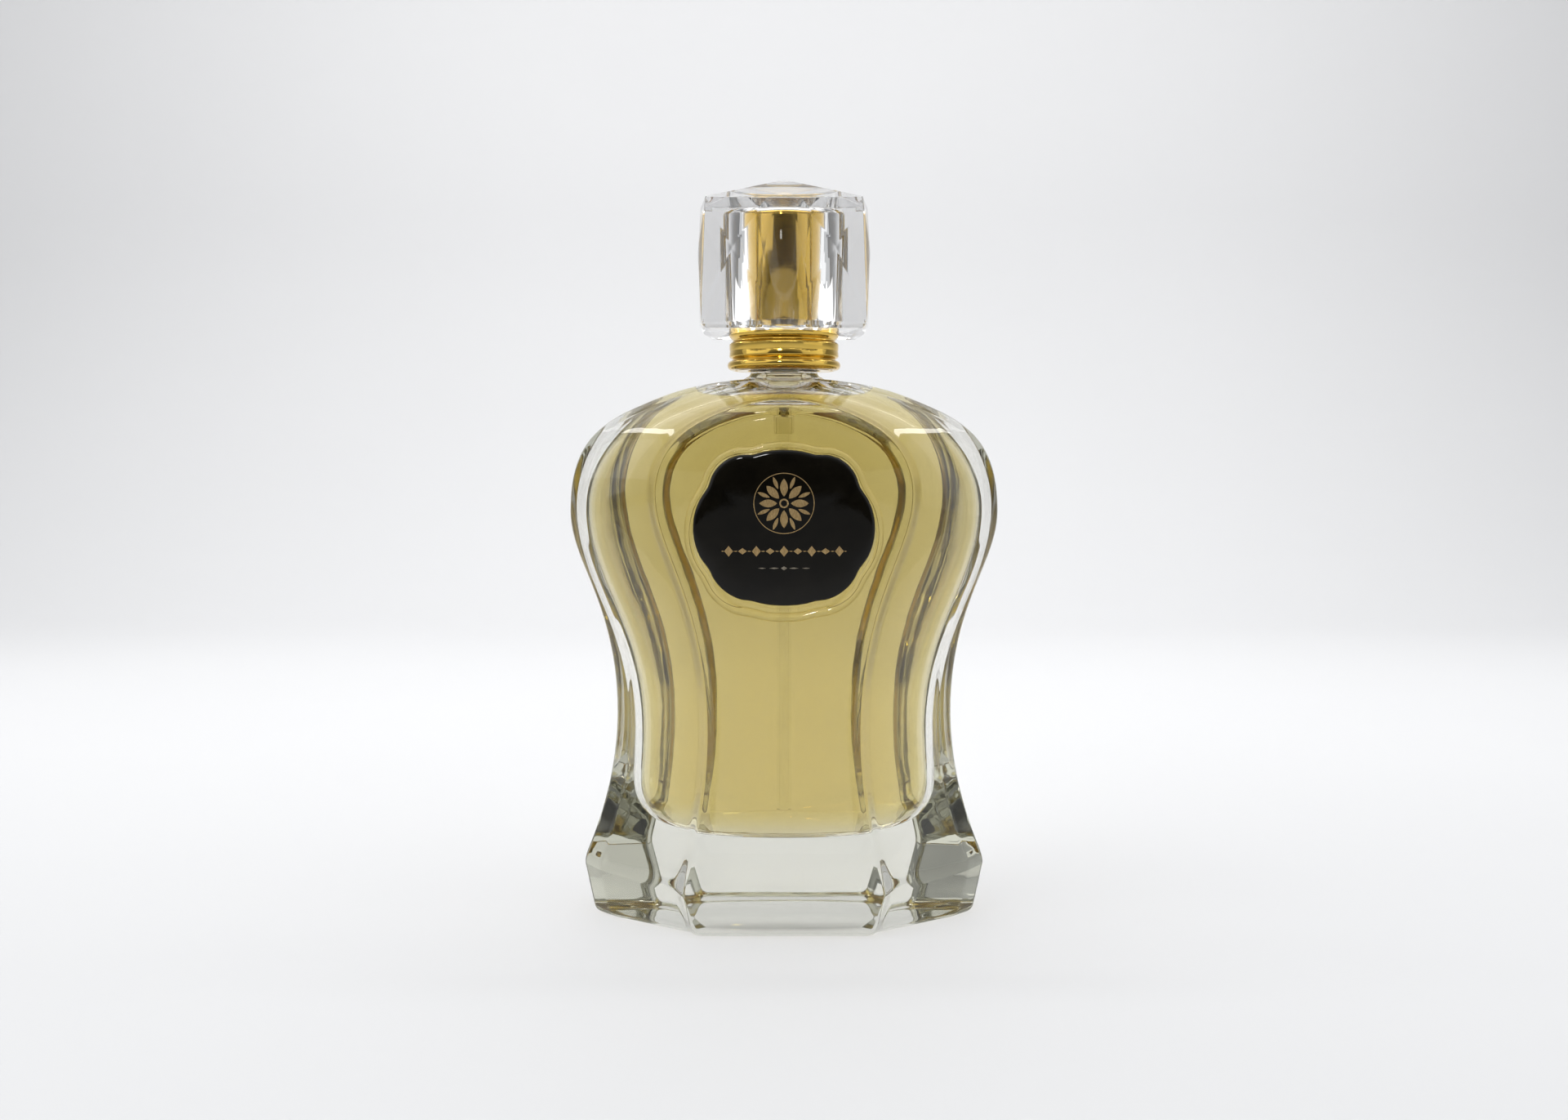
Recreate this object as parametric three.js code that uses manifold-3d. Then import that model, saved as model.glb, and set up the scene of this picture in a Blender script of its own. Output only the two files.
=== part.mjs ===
// Perfume bottle: a lofted glass flacon with a thick clear base, a domed label
// plaque in a scalloped rim, a crimped spray pump and a faceted lift-off cap.
// Millimetres, +Z up, front towards -Y, origin at the centre of the foot.

import * as THREE from 'three';
import { mergeVertices } from 'three/addons/utils/BufferGeometryUtils.js';
import { ConvexGeometry } from 'three/addons/geometries/ConvexGeometry.js';
import Module from 'manifold-3d';

const wasm = await Module();
wasm.setup();

// ---- Driving dimensions -------------------------------------------------

// Glass body, seen from the front (half widths) and from above (half depths).
const FOOT_HALF = 31.9;
const GIRDLE_HALF = 33.9;
const GIRDLE_Z = 9;
const WAIST_HALF = 28.3;
const WAIST_Z = 34;
const CHEST_HALF = 36.3;
const CHEST_Z = 68;
const SHOULDER_HALF = 27;
const SHOULDER_Z = 84.6;
const SHOULDER_TOP = 90.5;
const PANEL_FOOT_HALF = 14.3;
const PANEL_GIRDLE_HALF = 16.5;
const PANEL_GIRDLE_Z = 7;
const PANEL_WAIST_HALF = 12.6;
const PANEL_WAIST_Z = 33;
const PANEL_ARCH_HALF = 21;
const PANEL_ARCH_Z = 71;
const PANEL_TOP = 86.3;
const BODY_HALF_DEPTH = 19.5;
// Each station is a half depth and how far its outline has gone from the
// silhouette (0) to the raised front panel (1).
const BODY_STATIONS = [[5, 0], [8, 0.165], [17, 0.93], [BODY_HALF_DEPTH, 1]];

// Neck finish and the cavity inside the glass.
const NECK_R = 5.8;
const NECK_FLARE = 1.6;
const LIP_R = 7.45;
const LIP_BOTTOM = 92.9;
const LIP_TOP = 96.2;
const LIP_CHAMFER = 0.4;
const NECK_BORE_R = 4.6;
const FLOOR_Z = 15;
const CAVITY_FLOOR_HALF = 23.2;
const CAVITY_WAIST_HALF = 22.8;
const CAVITY_CHEST_HALF = 32.3;
const CAVITY_HALF_DEPTH = 13.5;
const CAVITY_SIDES = 24;
const LIQUID_GAP = 0.3;
const LIQUID_TOP = 86;

// Label plaque, its adhesive pad and the moulded rim around it.
const PLAQUE_Z = 65.9;
const PLAQUE_DEPTH = 1.9;
const PLAQUE_EDGE = 0.5;
const PAD_DEPTH = 0.25;
const PAD_INSET = 1.2;
const FACE_GAP = 0.05;
const RIM_GAP = 0.3;
const RIM_WIDTH = 1.4;
const RIM_HEIGHT = 0.8;
const FOIL_DEPTH = 0.12;
const ROSETTE_RISE = 3.8;
const ROSETTE_PETALS = 8;
const ROSETTE_EYE_R = 1.7;
const ROSETTE_PETAL = 3.2;
const RULE_DROP = 3.8;
const RULE_DIAMONDS = 9;
const RULE_PITCH = 2.2;
const RULE_LINK = 0.14;
const ACCENT_DROP = 6.5;
const ACCENT_HALF = 4.2;

// Spray pump, from the dip tube up to the spray head.
const TUBE_R = 1.25;
const TUBE_BORE_R = 0.75;
const TUBE_BOTTOM = 17.5;
const TUBE_TOP = 83.8;
const SOCKET_R = 1.7;
const SOCKET_BOTTOM = 81;
const HOUSING_R = 3.9;
const HOUSING_SHOULDER = 86.2;
const PUMP_BORE_R = 3.2;
const PUMP_BORE_BOTTOM = 87;
const HOUSING_TOP = 97.75;
const FLANGE_R = 7.2;
const FLANGE_BOTTOM = 97.1;
const SEAT_Z = 84.3;
const SEAT_R = 0.65;
const BALL_R = 0.9;
const BALL_CAGE_R = 1.15;
const STEM_R = 1.6;
const STEM_BORE_R = 0.6;
const STEM_BOTTOM = 91.3;
const STEM_TOP = 109;
const STEM_FOOT_R = 2.4;
const STEM_FOOT_TOP = 92;
const STEM_SHOULDER_R = 2.1;
const STEM_SHOULDER_Z = 95.2;
const STEM_PORT_Z = 93.6;
const PISTON_CLEARANCE = 0.05;
const PISTON_WAIST_R = 2.6;
const PISTON_BOTTOM = 92.1;
const PISTON_TOP = 95.1;
const GUIDE_R = 3.1;
const GUIDE_BOTTOM = 95.95;
const GASKET_R = 7.3;
const GASKET_BOTTOM = 96.3;
const GASKET_TOP = 97;
const FERRULE_R = 8.15;
const FERRULE_WALL = 0.4;
const FERRULE_BOTTOM = 91.9;
const FERRULE_TOP = 98.25;
const FERRULE_LIP_R = 6.3;
const FERRULE_HOLE_R = 2.1;
const SPRING_R = 2.55;
const SPRING_WIRE_R = 0.22;
const SPRING_BOTTOM = 98.3;
const SPRING_TOP = 106.3;
const SPRING_TURNS = 6;
const HEAD_R = 5.2;
const HEAD_WALL = 0.35;
const HEAD_BOTTOM = 102.4;
const HEAD_TOP = 112.5;
const HEAD_EDGE = 0.6;
const CORE_R = 4.7;
const CORE_BOTTOM = 102.6;
const CORE_TOP = 111.9;
const CORE_POCKET_R = 3.2;
const CORE_POCKET_TOP = 106.4;
const NOZZLE_Z = 110;
const NOZZLE_R = 1.6;
const NOZZLE_BACK = 3.2;
const NOZZLE_HOLE_R = 0.25;

// Collar and cap.
const COLLAR_BORE_R = 8.45;
const COLLAR_BOTTOM = 91.95;
const COLLAR_BAND_R = 9.45;
const COLLAR_GROOVE_R = 8.95;
const COLLAR_TOP = 98.85;
const COLLAR_BORE_TOP = 98.35;
const BOTTOM_BEAD = { radius: 9.75, z: 92.8, size: 0.85 };
const TOP_BEAD = { radius: 9.5, z: 98.05, size: 0.8 };
const BAND_EDGE = 0.3;
const TURRET_R = 6;
const TURRET_BORE_R = 5.6;
const TURRET_TOP = 103.2;
const CAP_BOTTOM = 98.3;
const CAP_EDGE_TOP = 120;
const CAP_APEX = 125;
const CAP_HALF_BOTTOM = 13.9;
const CAP_HALF_TOP = 13.5;
const CAP_CROSSING = { x: 8.57, out: 14.1, z: 111.3 };
const CAP_KITE = { x: 2.9, out: 13.75, z: 119.7 };
const CAP_BELLY = { out: 14.6, z: 99.7 };
const CAP_RECESS_R = 9.95;
const CAP_RECESS_TOP = 99.95;
const CAP_BORE_R = 9.8;
const SLEEVE_R = 9.55;
const SLEEVE_WALL = 0.35;
const SLEEVE_BOTTOM = 100;
const SLEEVE_TOP = 118.4;
const SLEEVE_EDGE = 1.2;
const LINER_R = 6.5;
const LINER_BORE_R = 6.1;
const LINER_TOP = 111.5;
const LINER_FLANGE_R = 9.2;
const LINER_BOTTOM = 99.05;
const LINER_FLANGE_TOP = 99.8;

const COARSE = 24;
const FINE = 32;
const CURVE_STEPS = 7;

// ---- Solids: lofts, lathes and booleans ---------------------------------

// A closed solid through rings of equal length, each ring a list of points
// turning anticlockwise as seen from the end of the stack. Both ends are
// filled with a fan.
function loft(rings) {
  const count = rings[0].length;
  const corners = rings.flat();
  const faces = [];
  rings.slice(1).forEach((_, r) => {
    const low = r * count;
    const high = low + count;
    for (let i = 0; i < count; i++) {
      const j = (i + 1) % count;
      faces.push(low + i, low + j, high + j, low + i, high + j, high + i);
    }
  });
  const first = corners.length;
  corners.push(centreOf(rings[0]), centreOf(rings.at(-1)));
  const last = (rings.length - 1) * count;
  for (let i = 0; i < count; i++) {
    const j = (i + 1) % count;
    faces.push(first, j, i, first + 1, last + i, last + j);
  }
  const geometry = new THREE.BufferGeometry().setFromPoints(corners);
  geometry.setIndex(faces);
  return geometry;
}

function centreOf(ring) {
  const sum = ring.reduce((total, p) => total.add(p), new THREE.Vector3());
  return sum.divideScalar(ring.length);
}

// A solid of revolution about Z from a closed list of [radius, z] corners.
function lathe(corners, segments = COARSE) {
  const points = corners.map(([r, z]) => new THREE.Vector2(r, z));
  const closed = [...points, points[0]];
  return new THREE.LatheGeometry(closed, segments).rotateX(Math.PI / 2);
}

// A round bar along Z between two heights.
function barZ(radius, bottom, top, segments = COARSE) {
  const bar = new THREE.CylinderGeometry(radius, radius, top - bottom, segments);
  return bar.rotateX(Math.PI / 2).translate(0, 0, (bottom + top) / 2);
}

// A round bar along Y between two depths, at height z.
function barY(radius, from, to, z, segments = COARSE) {
  const bar = new THREE.CylinderGeometry(radius, radius, to - from, segments);
  return bar.translate(0, (from + to) / 2, z);
}

// A plate whose front outline is in x and z, from depth y forwards by depth.
function frontPlate(shape, y, depth, bevel = 0) {
  const options = { depth: depth - 2 * bevel, bevelEnabled: bevel > 0, curveSegments: 6 };
  Object.assign(options, { bevelThickness: bevel, bevelSize: bevel, bevelSegments: 2 });
  options.bevelOffset = -bevel;
  const plate = new THREE.ExtrudeGeometry(shape, options);
  return plate.rotateX(Math.PI / 2).translate(0, y - bevel, 0);
}

function solid(geometry) {
  const bare = geometry.clone();
  bare.deleteAttribute('normal');
  bare.deleteAttribute('uv');
  const merged = mergeVertices(bare, 1e-4);
  return new wasm.Manifold(new wasm.Mesh({
    numProp: 3,
    vertProperties: new Float32Array(merged.attributes.position.array),
    triVerts: new Uint32Array(merged.index.array),
  }));
}

function geometryOf(manifold) {
  const mesh = manifold.getMesh();
  const geometry = new THREE.BufferGeometry();
  geometry.setAttribute('position', new THREE.BufferAttribute(mesh.vertProperties, 3));
  geometry.setIndex(new THREE.BufferAttribute(mesh.triVerts, 1));
  return geometry;
}

function cut(base, ...tools) {
  const result = tools.reduce((left, tool) => left.subtract(solid(tool)), solid(base));
  return geometryOf(result);
}

// ---- Glass body ----------------------------------------------------------

// Half of the silhouette, from the foot up to the centre of the shoulder.
function silhouette() {
  const path = new THREE.Path();
  path.moveTo(FOOT_HALF, 0);
  path.lineTo(GIRDLE_HALF, GIRDLE_Z);
  path.bezierCurveTo(30.5, 17, WAIST_HALF, 25, WAIST_HALF, WAIST_Z);
  path.bezierCurveTo(WAIST_HALF, 52, CHEST_HALF, 59, CHEST_HALF, CHEST_Z);
  path.bezierCurveTo(CHEST_HALF, 77.5, 33, 81.5, SHOULDER_HALF, SHOULDER_Z);
  path.bezierCurveTo(20, 87.9, 14, SHOULDER_TOP, 0, SHOULDER_TOP);
  return path.getPoints(CURVE_STEPS);
}

// Half of the raised front panel, in the same pieces as the silhouette.
function panelOutline() {
  const path = new THREE.Path();
  path.moveTo(PANEL_FOOT_HALF, 0);
  path.lineTo(PANEL_GIRDLE_HALF, PANEL_GIRDLE_Z);
  path.bezierCurveTo(14.2, 15, PANEL_WAIST_HALF, 24, PANEL_WAIST_HALF, PANEL_WAIST_Z);
  path.bezierCurveTo(PANEL_WAIST_HALF, 54, PANEL_ARCH_HALF, 62, PANEL_ARCH_HALF, PANEL_ARCH_Z);
  path.bezierCurveTo(PANEL_ARCH_HALF, 76.2, 18.3, 80.1, 14, 82.5);
  path.bezierCurveTo(9.5, 85, 5, PANEL_TOP, 0, PANEL_TOP);
  return path.getPoints(CURVE_STEPS);
}

// A whole outline, mirrored, at depth y: up the right side, down the left.
function stationRing(y, blend) {
  const inner = panelOutline();
  const right = silhouette().map((p, i) => p.lerp(inner[i], blend));
  const left = right.slice(0, -1).reverse();
  const ring = right.map((p) => new THREE.Vector3(p.x, y, p.y));
  return [...ring, ...left.map((p) => new THREE.Vector3(-p.x, y, p.y))];
}

function bodyBlank() {
  const rings = [...BODY_STATIONS].reverse().map(([depth, blend]) => stationRing(depth, blend));
  BODY_STATIONS.forEach(([depth, blend]) => rings.push(stationRing(-depth, blend)));
  return loft(rings);
}

// Half widths of the cavity from the middle of its floor up to the lip.
function cavityProfile() {
  const path = new THREE.Path();
  path.moveTo(8, FLOOR_Z);
  path.lineTo(19, FLOOR_Z);
  path.quadraticCurveTo(23.4, FLOOR_Z, CAVITY_FLOOR_HALF, 19);
  path.bezierCurveTo(23, 24, CAVITY_WAIST_HALF, 26, CAVITY_WAIST_HALF, 31);
  path.bezierCurveTo(CAVITY_WAIST_HALF, 48, CAVITY_CHEST_HALF, 56, CAVITY_CHEST_HALF, CHEST_Z);
  path.bezierCurveTo(CAVITY_CHEST_HALF, 79, 22, 83.5, 12, 86.5);
  path.quadraticCurveTo(NECK_BORE_R, 88, NECK_BORE_R, 91);
  path.lineTo(NECK_BORE_R, LIP_TOP + 1);
  return path.getPoints(CURVE_STEPS - 3);
}

// The cavity: rounded oblongs that turn into the round bore at the neck.
function cavitySolid(gap) {
  const limit = CAVITY_HALF_DEPTH;
  const rings = cavityProfile().map(({ x, y: z }) => {
    const halfDepth = x * limit / (x ** 5 + limit ** 5) ** 0.2;
    const power = 2 / (2 + 1.7 * (1 - halfDepth / x));
    const height = z === FLOOR_Z ? z + gap : z;
    return ovalRing(x - gap, halfDepth - gap, height, power);
  });
  return loft(rings);
}

function ovalRing(halfWidth, halfDepth, z, power) {
  const bulge = (value) => Math.sign(value) * Math.abs(value) ** power;
  return Array.from({ length: CAVITY_SIDES }, (_, i) => {
    const angle = (i + 0.5) / CAVITY_SIDES * 2 * Math.PI;
    const x = halfWidth * bulge(Math.cos(angle));
    const y = halfDepth * bulge(Math.sin(angle));
    return new THREE.Vector3(x, y, z);
  });
}

function glassBottle() {
  const root = SHOULDER_TOP - 2;
  const neck = lathe([
    [0, root], [NECK_R + NECK_FLARE, root], [NECK_R + 0.5, SHOULDER_TOP + 0.3],
    [NECK_R, SHOULDER_TOP + 1], [NECK_R, LIP_BOTTOM - 0.5], [LIP_R, LIP_BOTTOM],
    [LIP_R, LIP_TOP - LIP_CHAMFER], [LIP_R - LIP_CHAMFER, LIP_TOP], [0, LIP_TOP],
  ]);
  const outer = solid(bodyBlank()).add(solid(neck)).add(solid(labelRim()));
  return geometryOf(outer.subtract(solid(cavitySolid(0))));
}

function perfumeLiquid() {
  const top = new THREE.BoxGeometry(90, 60, 40).translate(0, 0, LIQUID_TOP + 20);
  const aroundTube = barZ(TUBE_R + LIQUID_GAP, TUBE_BOTTOM - 0.5, LIQUID_TOP + 1);
  const aroundSocket = barZ(SOCKET_R + 0.8, SOCKET_BOTTOM - 0.4, LIQUID_TOP + 1);
  const aroundHousing = barZ(HOUSING_R + LIQUID_GAP, SEAT_Z + 0.1, LIQUID_TOP + 1);
  return cut(cavitySolid(LIQUID_GAP), top, aroundTube, aroundSocket, aroundHousing);
}

// ---- Label plaque --------------------------------------------------------

// The scalloped outline: eight lobes between notches, each a shallow arc. They
// run from the upper right corner over the top and round to the right side.
function scallopPoints() {
  const notches = [
    [11.9, 6.3], [5.1, 11.4], [-5.1, 11.4], [-11.9, 6.3],
    [-11.8, -6.6], [-5.2, -11.6], [5.2, -11.6], [11.8, -6.6],
  ].map(([x, z]) => new THREE.Vector2(x, z));
  const rises = [2, 1, 2, 2.7, 1.45, 0.9, 1.45, 2.7];
  return notches.flatMap((from, i) => lobePoints(from, notches[(i + 1) % 8], rises[i]));
}

function lobePoints(from, to, rise) {
  const steps = 5;
  const out = to.clone().sub(from).rotateAround(new THREE.Vector2(), -Math.PI / 2).normalize();
  return Array.from({ length: steps }, (_, i) => {
    const t = i / steps;
    const height = rise * Math.sqrt(4 * t * (1 - t));
    const blended = 0.5 * height + 0.5 * rise * 4 * t * (1 - t);
    return from.clone().lerp(to, t).addScaledVector(out, blended);
  });
}

// A loop moved outwards by distance, square to its sides.
function offsetLoop(points, distance) {
  return points.map((point, i) => {
    const before = points.at(i - 1);
    const after = points[(i + 1) % points.length];
    const along = after.clone().sub(before).normalize();
    return new THREE.Vector2(point.x + along.y * distance, point.y - along.x * distance);
  });
}

function scallopShape(distance, drop = 0) {
  const raised = offsetLoop(scallopPoints(), distance);
  return new THREE.Shape(raised.map((p) => new THREE.Vector2(p.x, p.y + PLAQUE_Z - drop)));
}

function labelRim() {
  const rim = scallopShape(RIM_GAP + RIM_WIDTH, 0.3);
  rim.holes.push(new THREE.Path(scallopShape(RIM_GAP).getPoints()));
  return frontPlate(rim, 1 - BODY_HALF_DEPTH, 1 + RIM_HEIGHT);
}

function plaqueBack() {
  return -BODY_HALF_DEPTH - PAD_DEPTH - 2 * FACE_GAP;
}

function plaqueFront() {
  return plaqueBack() - PLAQUE_DEPTH;
}

// Pointed petals around a small round eye, joined at the middle.
function rosetteShape() {
  const count = ROSETTE_PETALS * 6;
  const points = Array.from({ length: count }, (_, i) => {
    const angle = i / count * 2 * Math.PI;
    const petal = Math.abs(Math.cos(angle * ROSETTE_PETALS / 2)) ** 1.5;
    const radius = ROSETTE_EYE_R + ROSETTE_PETAL * petal;
    const x = radius * Math.cos(angle);
    return new THREE.Vector2(x, PLAQUE_Z + ROSETTE_RISE + radius * Math.sin(angle));
  });
  return new THREE.Shape(points);
}

// An outline that is the same above and below its middle line, from its upper
// half, which starts at the right end and stops at the left end.
function mirroredShape(upper, z) {
  const lower = upper.slice(1, -1).map(([x, dz]) => [x, -dz]).reverse();
  return new THREE.Shape([...upper, ...lower].map(([x, dz]) => new THREE.Vector2(x, z + dz)));
}

// A row of diamonds, tall and short in turn, on a thin line.
function ruleShape() {
  const first = (RULE_DIAMONDS - 1) / 2;
  const upper = Array.from({ length: RULE_DIAMONDS }, (_, i) => {
    const x = (first - i) * RULE_PITCH;
    const height = i % 2 === 0 ? 0.85 : 0.5;
    return [[x + 0.7, RULE_LINK], [x, height], [x - 0.7, RULE_LINK]];
  }).flat();
  const end = first * RULE_PITCH + 1.2;
  return mirroredShape([[end, 0], ...upper, [-end, 0]], PLAQUE_Z - RULE_DROP);
}

// A short thin lens under the row of diamonds.
function accentShape() {
  const side = [[ACCENT_HALF, 0], [ACCENT_HALF / 2, 0.24]];
  const upper = [...side, [0, 0.32], ...[...side].reverse().map(([x, z]) => [-x, z])];
  return mirroredShape(upper, PLAQUE_Z - ACCENT_DROP);
}

// ---- Spray pump ----------------------------------------------------------

function crimpFerrule() {
  const inner = FERRULE_R - FERRULE_WALL;
  return lathe([
    [FERRULE_LIP_R, FERRULE_BOTTOM], [FERRULE_R, FERRULE_BOTTOM], [FERRULE_R, FERRULE_TOP],
    [FERRULE_HOLE_R, FERRULE_TOP], [FERRULE_HOLE_R, FERRULE_TOP - FERRULE_WALL],
    [inner, FERRULE_TOP - FERRULE_WALL], [inner, FERRULE_BOTTOM + FERRULE_WALL],
    [FERRULE_LIP_R, FERRULE_BOTTOM + FERRULE_WALL],
  ], FINE);
}

function pumpHousing() {
  const socketTop = TUBE_TOP + 0.2;
  return lathe([
    [TUBE_R + FACE_GAP, SOCKET_BOTTOM], [SOCKET_R, SOCKET_BOTTOM], [SOCKET_R, SEAT_Z + 0.1],
    [SOCKET_R + 0.5, SEAT_Z + 0.3], [HOUSING_R, HOUSING_SHOULDER], [HOUSING_R, FLANGE_BOTTOM],
    [FLANGE_R, FLANGE_BOTTOM], [FLANGE_R, HOUSING_TOP], [PUMP_BORE_R, HOUSING_TOP],
    [PUMP_BORE_R, PUMP_BORE_BOTTOM], [BALL_CAGE_R, PUMP_BORE_BOTTOM - 0.4],
    [BALL_CAGE_R, SEAT_Z], [SEAT_R, SEAT_Z], [SEAT_R, socketTop], [TUBE_R + FACE_GAP, socketTop],
  ]);
}

function pumpStem() {
  const shoulderTop = STEM_SHOULDER_Z + 0.4;
  const boreBottom = STEM_PORT_Z - STEM_BORE_R;
  const blank = lathe([
    [0, STEM_BOTTOM], [STEM_FOOT_R, STEM_BOTTOM], [STEM_FOOT_R, STEM_FOOT_TOP],
    [STEM_R, STEM_FOOT_TOP], [STEM_R, STEM_SHOULDER_Z], [STEM_SHOULDER_R, STEM_SHOULDER_Z],
    [STEM_SHOULDER_R, shoulderTop], [STEM_R, shoulderTop], [STEM_R, STEM_TOP],
    [STEM_BORE_R, STEM_TOP], [STEM_BORE_R, boreBottom], [0, boreBottom],
  ]);
  return cut(blank, barY(0.35, -3, 3, STEM_PORT_Z, 10));
}

function pistonSeal() {
  const lip = PUMP_BORE_R - PISTON_CLEARANCE;
  const waist = PISTON_WAIST_R;
  const bore = STEM_R + 0.1;
  return lathe([
    [bore, PISTON_BOTTOM], [waist, PISTON_BOTTOM], [lip, PISTON_BOTTOM + 0.2],
    [lip, PISTON_BOTTOM + 0.8], [waist, PISTON_BOTTOM + 1.2], [waist, PISTON_TOP - 1.2],
    [lip, PISTON_TOP - 0.8], [lip, PISTON_TOP - 0.2], [waist, PISTON_TOP], [bore, PISTON_TOP],
  ]);
}

// A guide ring in the top of the housing that keeps the stem upright.
function stemGuide() {
  const bore = STEM_R + 0.1;
  const top = HOUSING_TOP - 0.05;
  return lathe([[bore, GUIDE_BOTTOM], [GUIDE_R, GUIDE_BOTTOM], [GUIDE_R, top], [bore, top]]);
}

function neckGasket() {
  return lathe([
    [NECK_BORE_R, GASKET_BOTTOM], [GASKET_R, GASKET_BOTTOM], [GASKET_R, GASKET_TOP],
    [NECK_BORE_R, GASKET_TOP],
  ]);
}

// A helix from the ferrule up into the pocket of the spray head.
class Helix extends THREE.Curve {
  getPoint(t) {
    const angle = t * SPRING_TURNS * 2 * Math.PI;
    const low = SPRING_BOTTOM + SPRING_WIRE_R;
    const height = SPRING_TOP - SPRING_BOTTOM - 2 * SPRING_WIRE_R;
    const x = SPRING_R * Math.cos(angle);
    return new THREE.Vector3(x, SPRING_R * Math.sin(angle), low + t * height);
  }
}

function returnSpring() {
  const section = new THREE.Shape();
  section.absarc(0, 0, SPRING_WIRE_R, 0, 2 * Math.PI);
  const options = { steps: SPRING_TURNS * 12, extrudePath: new Helix(), curveSegments: 3 };
  return new THREE.ExtrudeGeometry(section, options);
}

function headShell() {
  const inner = HEAD_R - HEAD_WALL;
  const cup = lathe([
    [inner, HEAD_BOTTOM], [HEAD_R, HEAD_BOTTOM], [HEAD_R, HEAD_TOP - HEAD_EDGE],
    [HEAD_R - HEAD_EDGE, HEAD_TOP], [0, HEAD_TOP], [0, HEAD_TOP - HEAD_WALL],
    [inner - 0.5, HEAD_TOP - HEAD_WALL], [inner, HEAD_TOP - HEAD_WALL - 0.5],
  ], FINE);
  return cut(cup, barY(NOZZLE_R + 0.2, -HEAD_R - 1, -4, NOZZLE_Z));
}

function headCore() {
  const stemBore = STEM_R + FACE_GAP;
  const stemSeat = STEM_TOP + 0.1;
  const core = lathe([
    [CORE_POCKET_R, CORE_BOTTOM], [CORE_R, CORE_BOTTOM], [CORE_R, CORE_TOP - HEAD_EDGE - 0.1],
    [CORE_R - HEAD_EDGE, CORE_TOP], [0, CORE_TOP], [0, NOZZLE_Z + 0.4], [0.5, NOZZLE_Z + 0.4],
    [0.5, stemSeat], [stemBore, stemSeat], [stemBore, CORE_POCKET_TOP],
    [CORE_POCKET_R, CORE_POCKET_TOP],
  ]);
  const pocket = barY(NOZZLE_R + 0.15, -HEAD_R, 0.2 - NOZZLE_BACK, NOZZLE_Z);
  const channel = barY(0.4, -NOZZLE_BACK, 0.1, NOZZLE_Z - 0.1, 10);
  return cut(core, pocket, channel);
}

function sprayInsert() {
  const front = HEAD_R - 0.2;
  const profile = [
    [NOZZLE_HOLE_R, NOZZLE_BACK], [NOZZLE_R, NOZZLE_BACK], [NOZZLE_R, front - 0.3],
    [NOZZLE_R - 0.3, front], [0.9, front], [NOZZLE_HOLE_R, front - 0.4],
  ];
  return lathe(profile).rotateX(Math.PI / 2).translate(0, 0, NOZZLE_Z);
}

// ---- Collar and cap ------------------------------------------------------

// Points of a rounded bead, from one angle to another in degrees.
function bead({ radius, z, size }, from, to) {
  const steps = 4;
  return Array.from({ length: steps + 1 }, (_, i) => {
    const angle = (from + (to - from) * i / steps) * Math.PI / 180;
    return [radius - size + size * Math.cos(angle), z + size * Math.sin(angle)];
  });
}

// The collar, from its flared bottom bead up to the turret the cap sits on.
function collar() {
  const bandLow = { radius: COLLAR_BAND_R, z: 94.4, size: BAND_EDGE };
  const bandHigh = { radius: COLLAR_BAND_R, z: 96.4, size: BAND_EDGE };
  return lathe([
    [COLLAR_BORE_R, COLLAR_BOTTOM], ...bead(BOTTOM_BEAD, -90, 60), [COLLAR_GROOVE_R, 93.7],
    ...bead(bandLow, -60, 0), ...bead(bandHigh, 0, 60), [COLLAR_GROOVE_R, 97.1],
    ...bead(TOP_BEAD, -60, 90), [TURRET_R, COLLAR_TOP], [TURRET_R, TURRET_TOP],
    [TURRET_BORE_R, TURRET_TOP], [TURRET_BORE_R, COLLAR_BORE_TOP],
    [COLLAR_BORE_R, COLLAR_BORE_TOP],
  ], FINE);
}

// The outside of the cap: a square block under a low pyramid. On each side two
// long creases run down from the top corners to the middle of the foot, and
// cross two more that run from near the top middle to the bottom corners.
function capBlank() {
  const foot = CAP_HALF_BOTTOM - 0.7;
  const side = [
    [-CAP_HALF_BOTTOM, CAP_HALF_BOTTOM, CAP_BOTTOM + 0.7], [-foot, foot, CAP_BOTTOM],
    [-CAP_HALF_TOP, CAP_HALF_TOP, CAP_EDGE_TOP],
    [-CAP_CROSSING.x, CAP_CROSSING.out, CAP_CROSSING.z],
    [CAP_CROSSING.x, CAP_CROSSING.out, CAP_CROSSING.z],
    [-CAP_KITE.x, CAP_KITE.out, CAP_KITE.z], [CAP_KITE.x, CAP_KITE.out, CAP_KITE.z],
    [0, CAP_BELLY.out, CAP_BELLY.z], [0, CAP_BELLY.out - 0.8, CAP_BOTTOM],
  ];
  const corners = [new THREE.Vector3(0, 0, CAP_APEX)];
  for (let turn = 0; turn < 4; turn++) {
    const axis = new THREE.Vector3(0, 0, 1);
    side.forEach(([x, out, z]) => {
      corners.push(new THREE.Vector3(x, -out, z).applyAxisAngle(axis, turn * Math.PI / 2));
    });
  }
  return new ConvexGeometry(corners);
}

// The rounded upper edge of a round bar, from its side in to its axis.
function roundTop(radius, top) {
  return [
    [radius, top - SLEEVE_EDGE], [radius - 0.35, top - SLEEVE_EDGE / 3],
    [radius - SLEEVE_EDGE, top], [0, top],
  ];
}

function capBlock() {
  const recess = barZ(CAP_RECESS_R, CAP_BOTTOM - 1, CAP_RECESS_TOP, FINE);
  const top = SLEEVE_TOP + 0.3;
  const bore = lathe([[0, CAP_BOTTOM], [CAP_BORE_R, CAP_BOTTOM], ...roundTop(CAP_BORE_R, top)], FINE);
  return cut(capBlank(), recess, bore);
}

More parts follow.
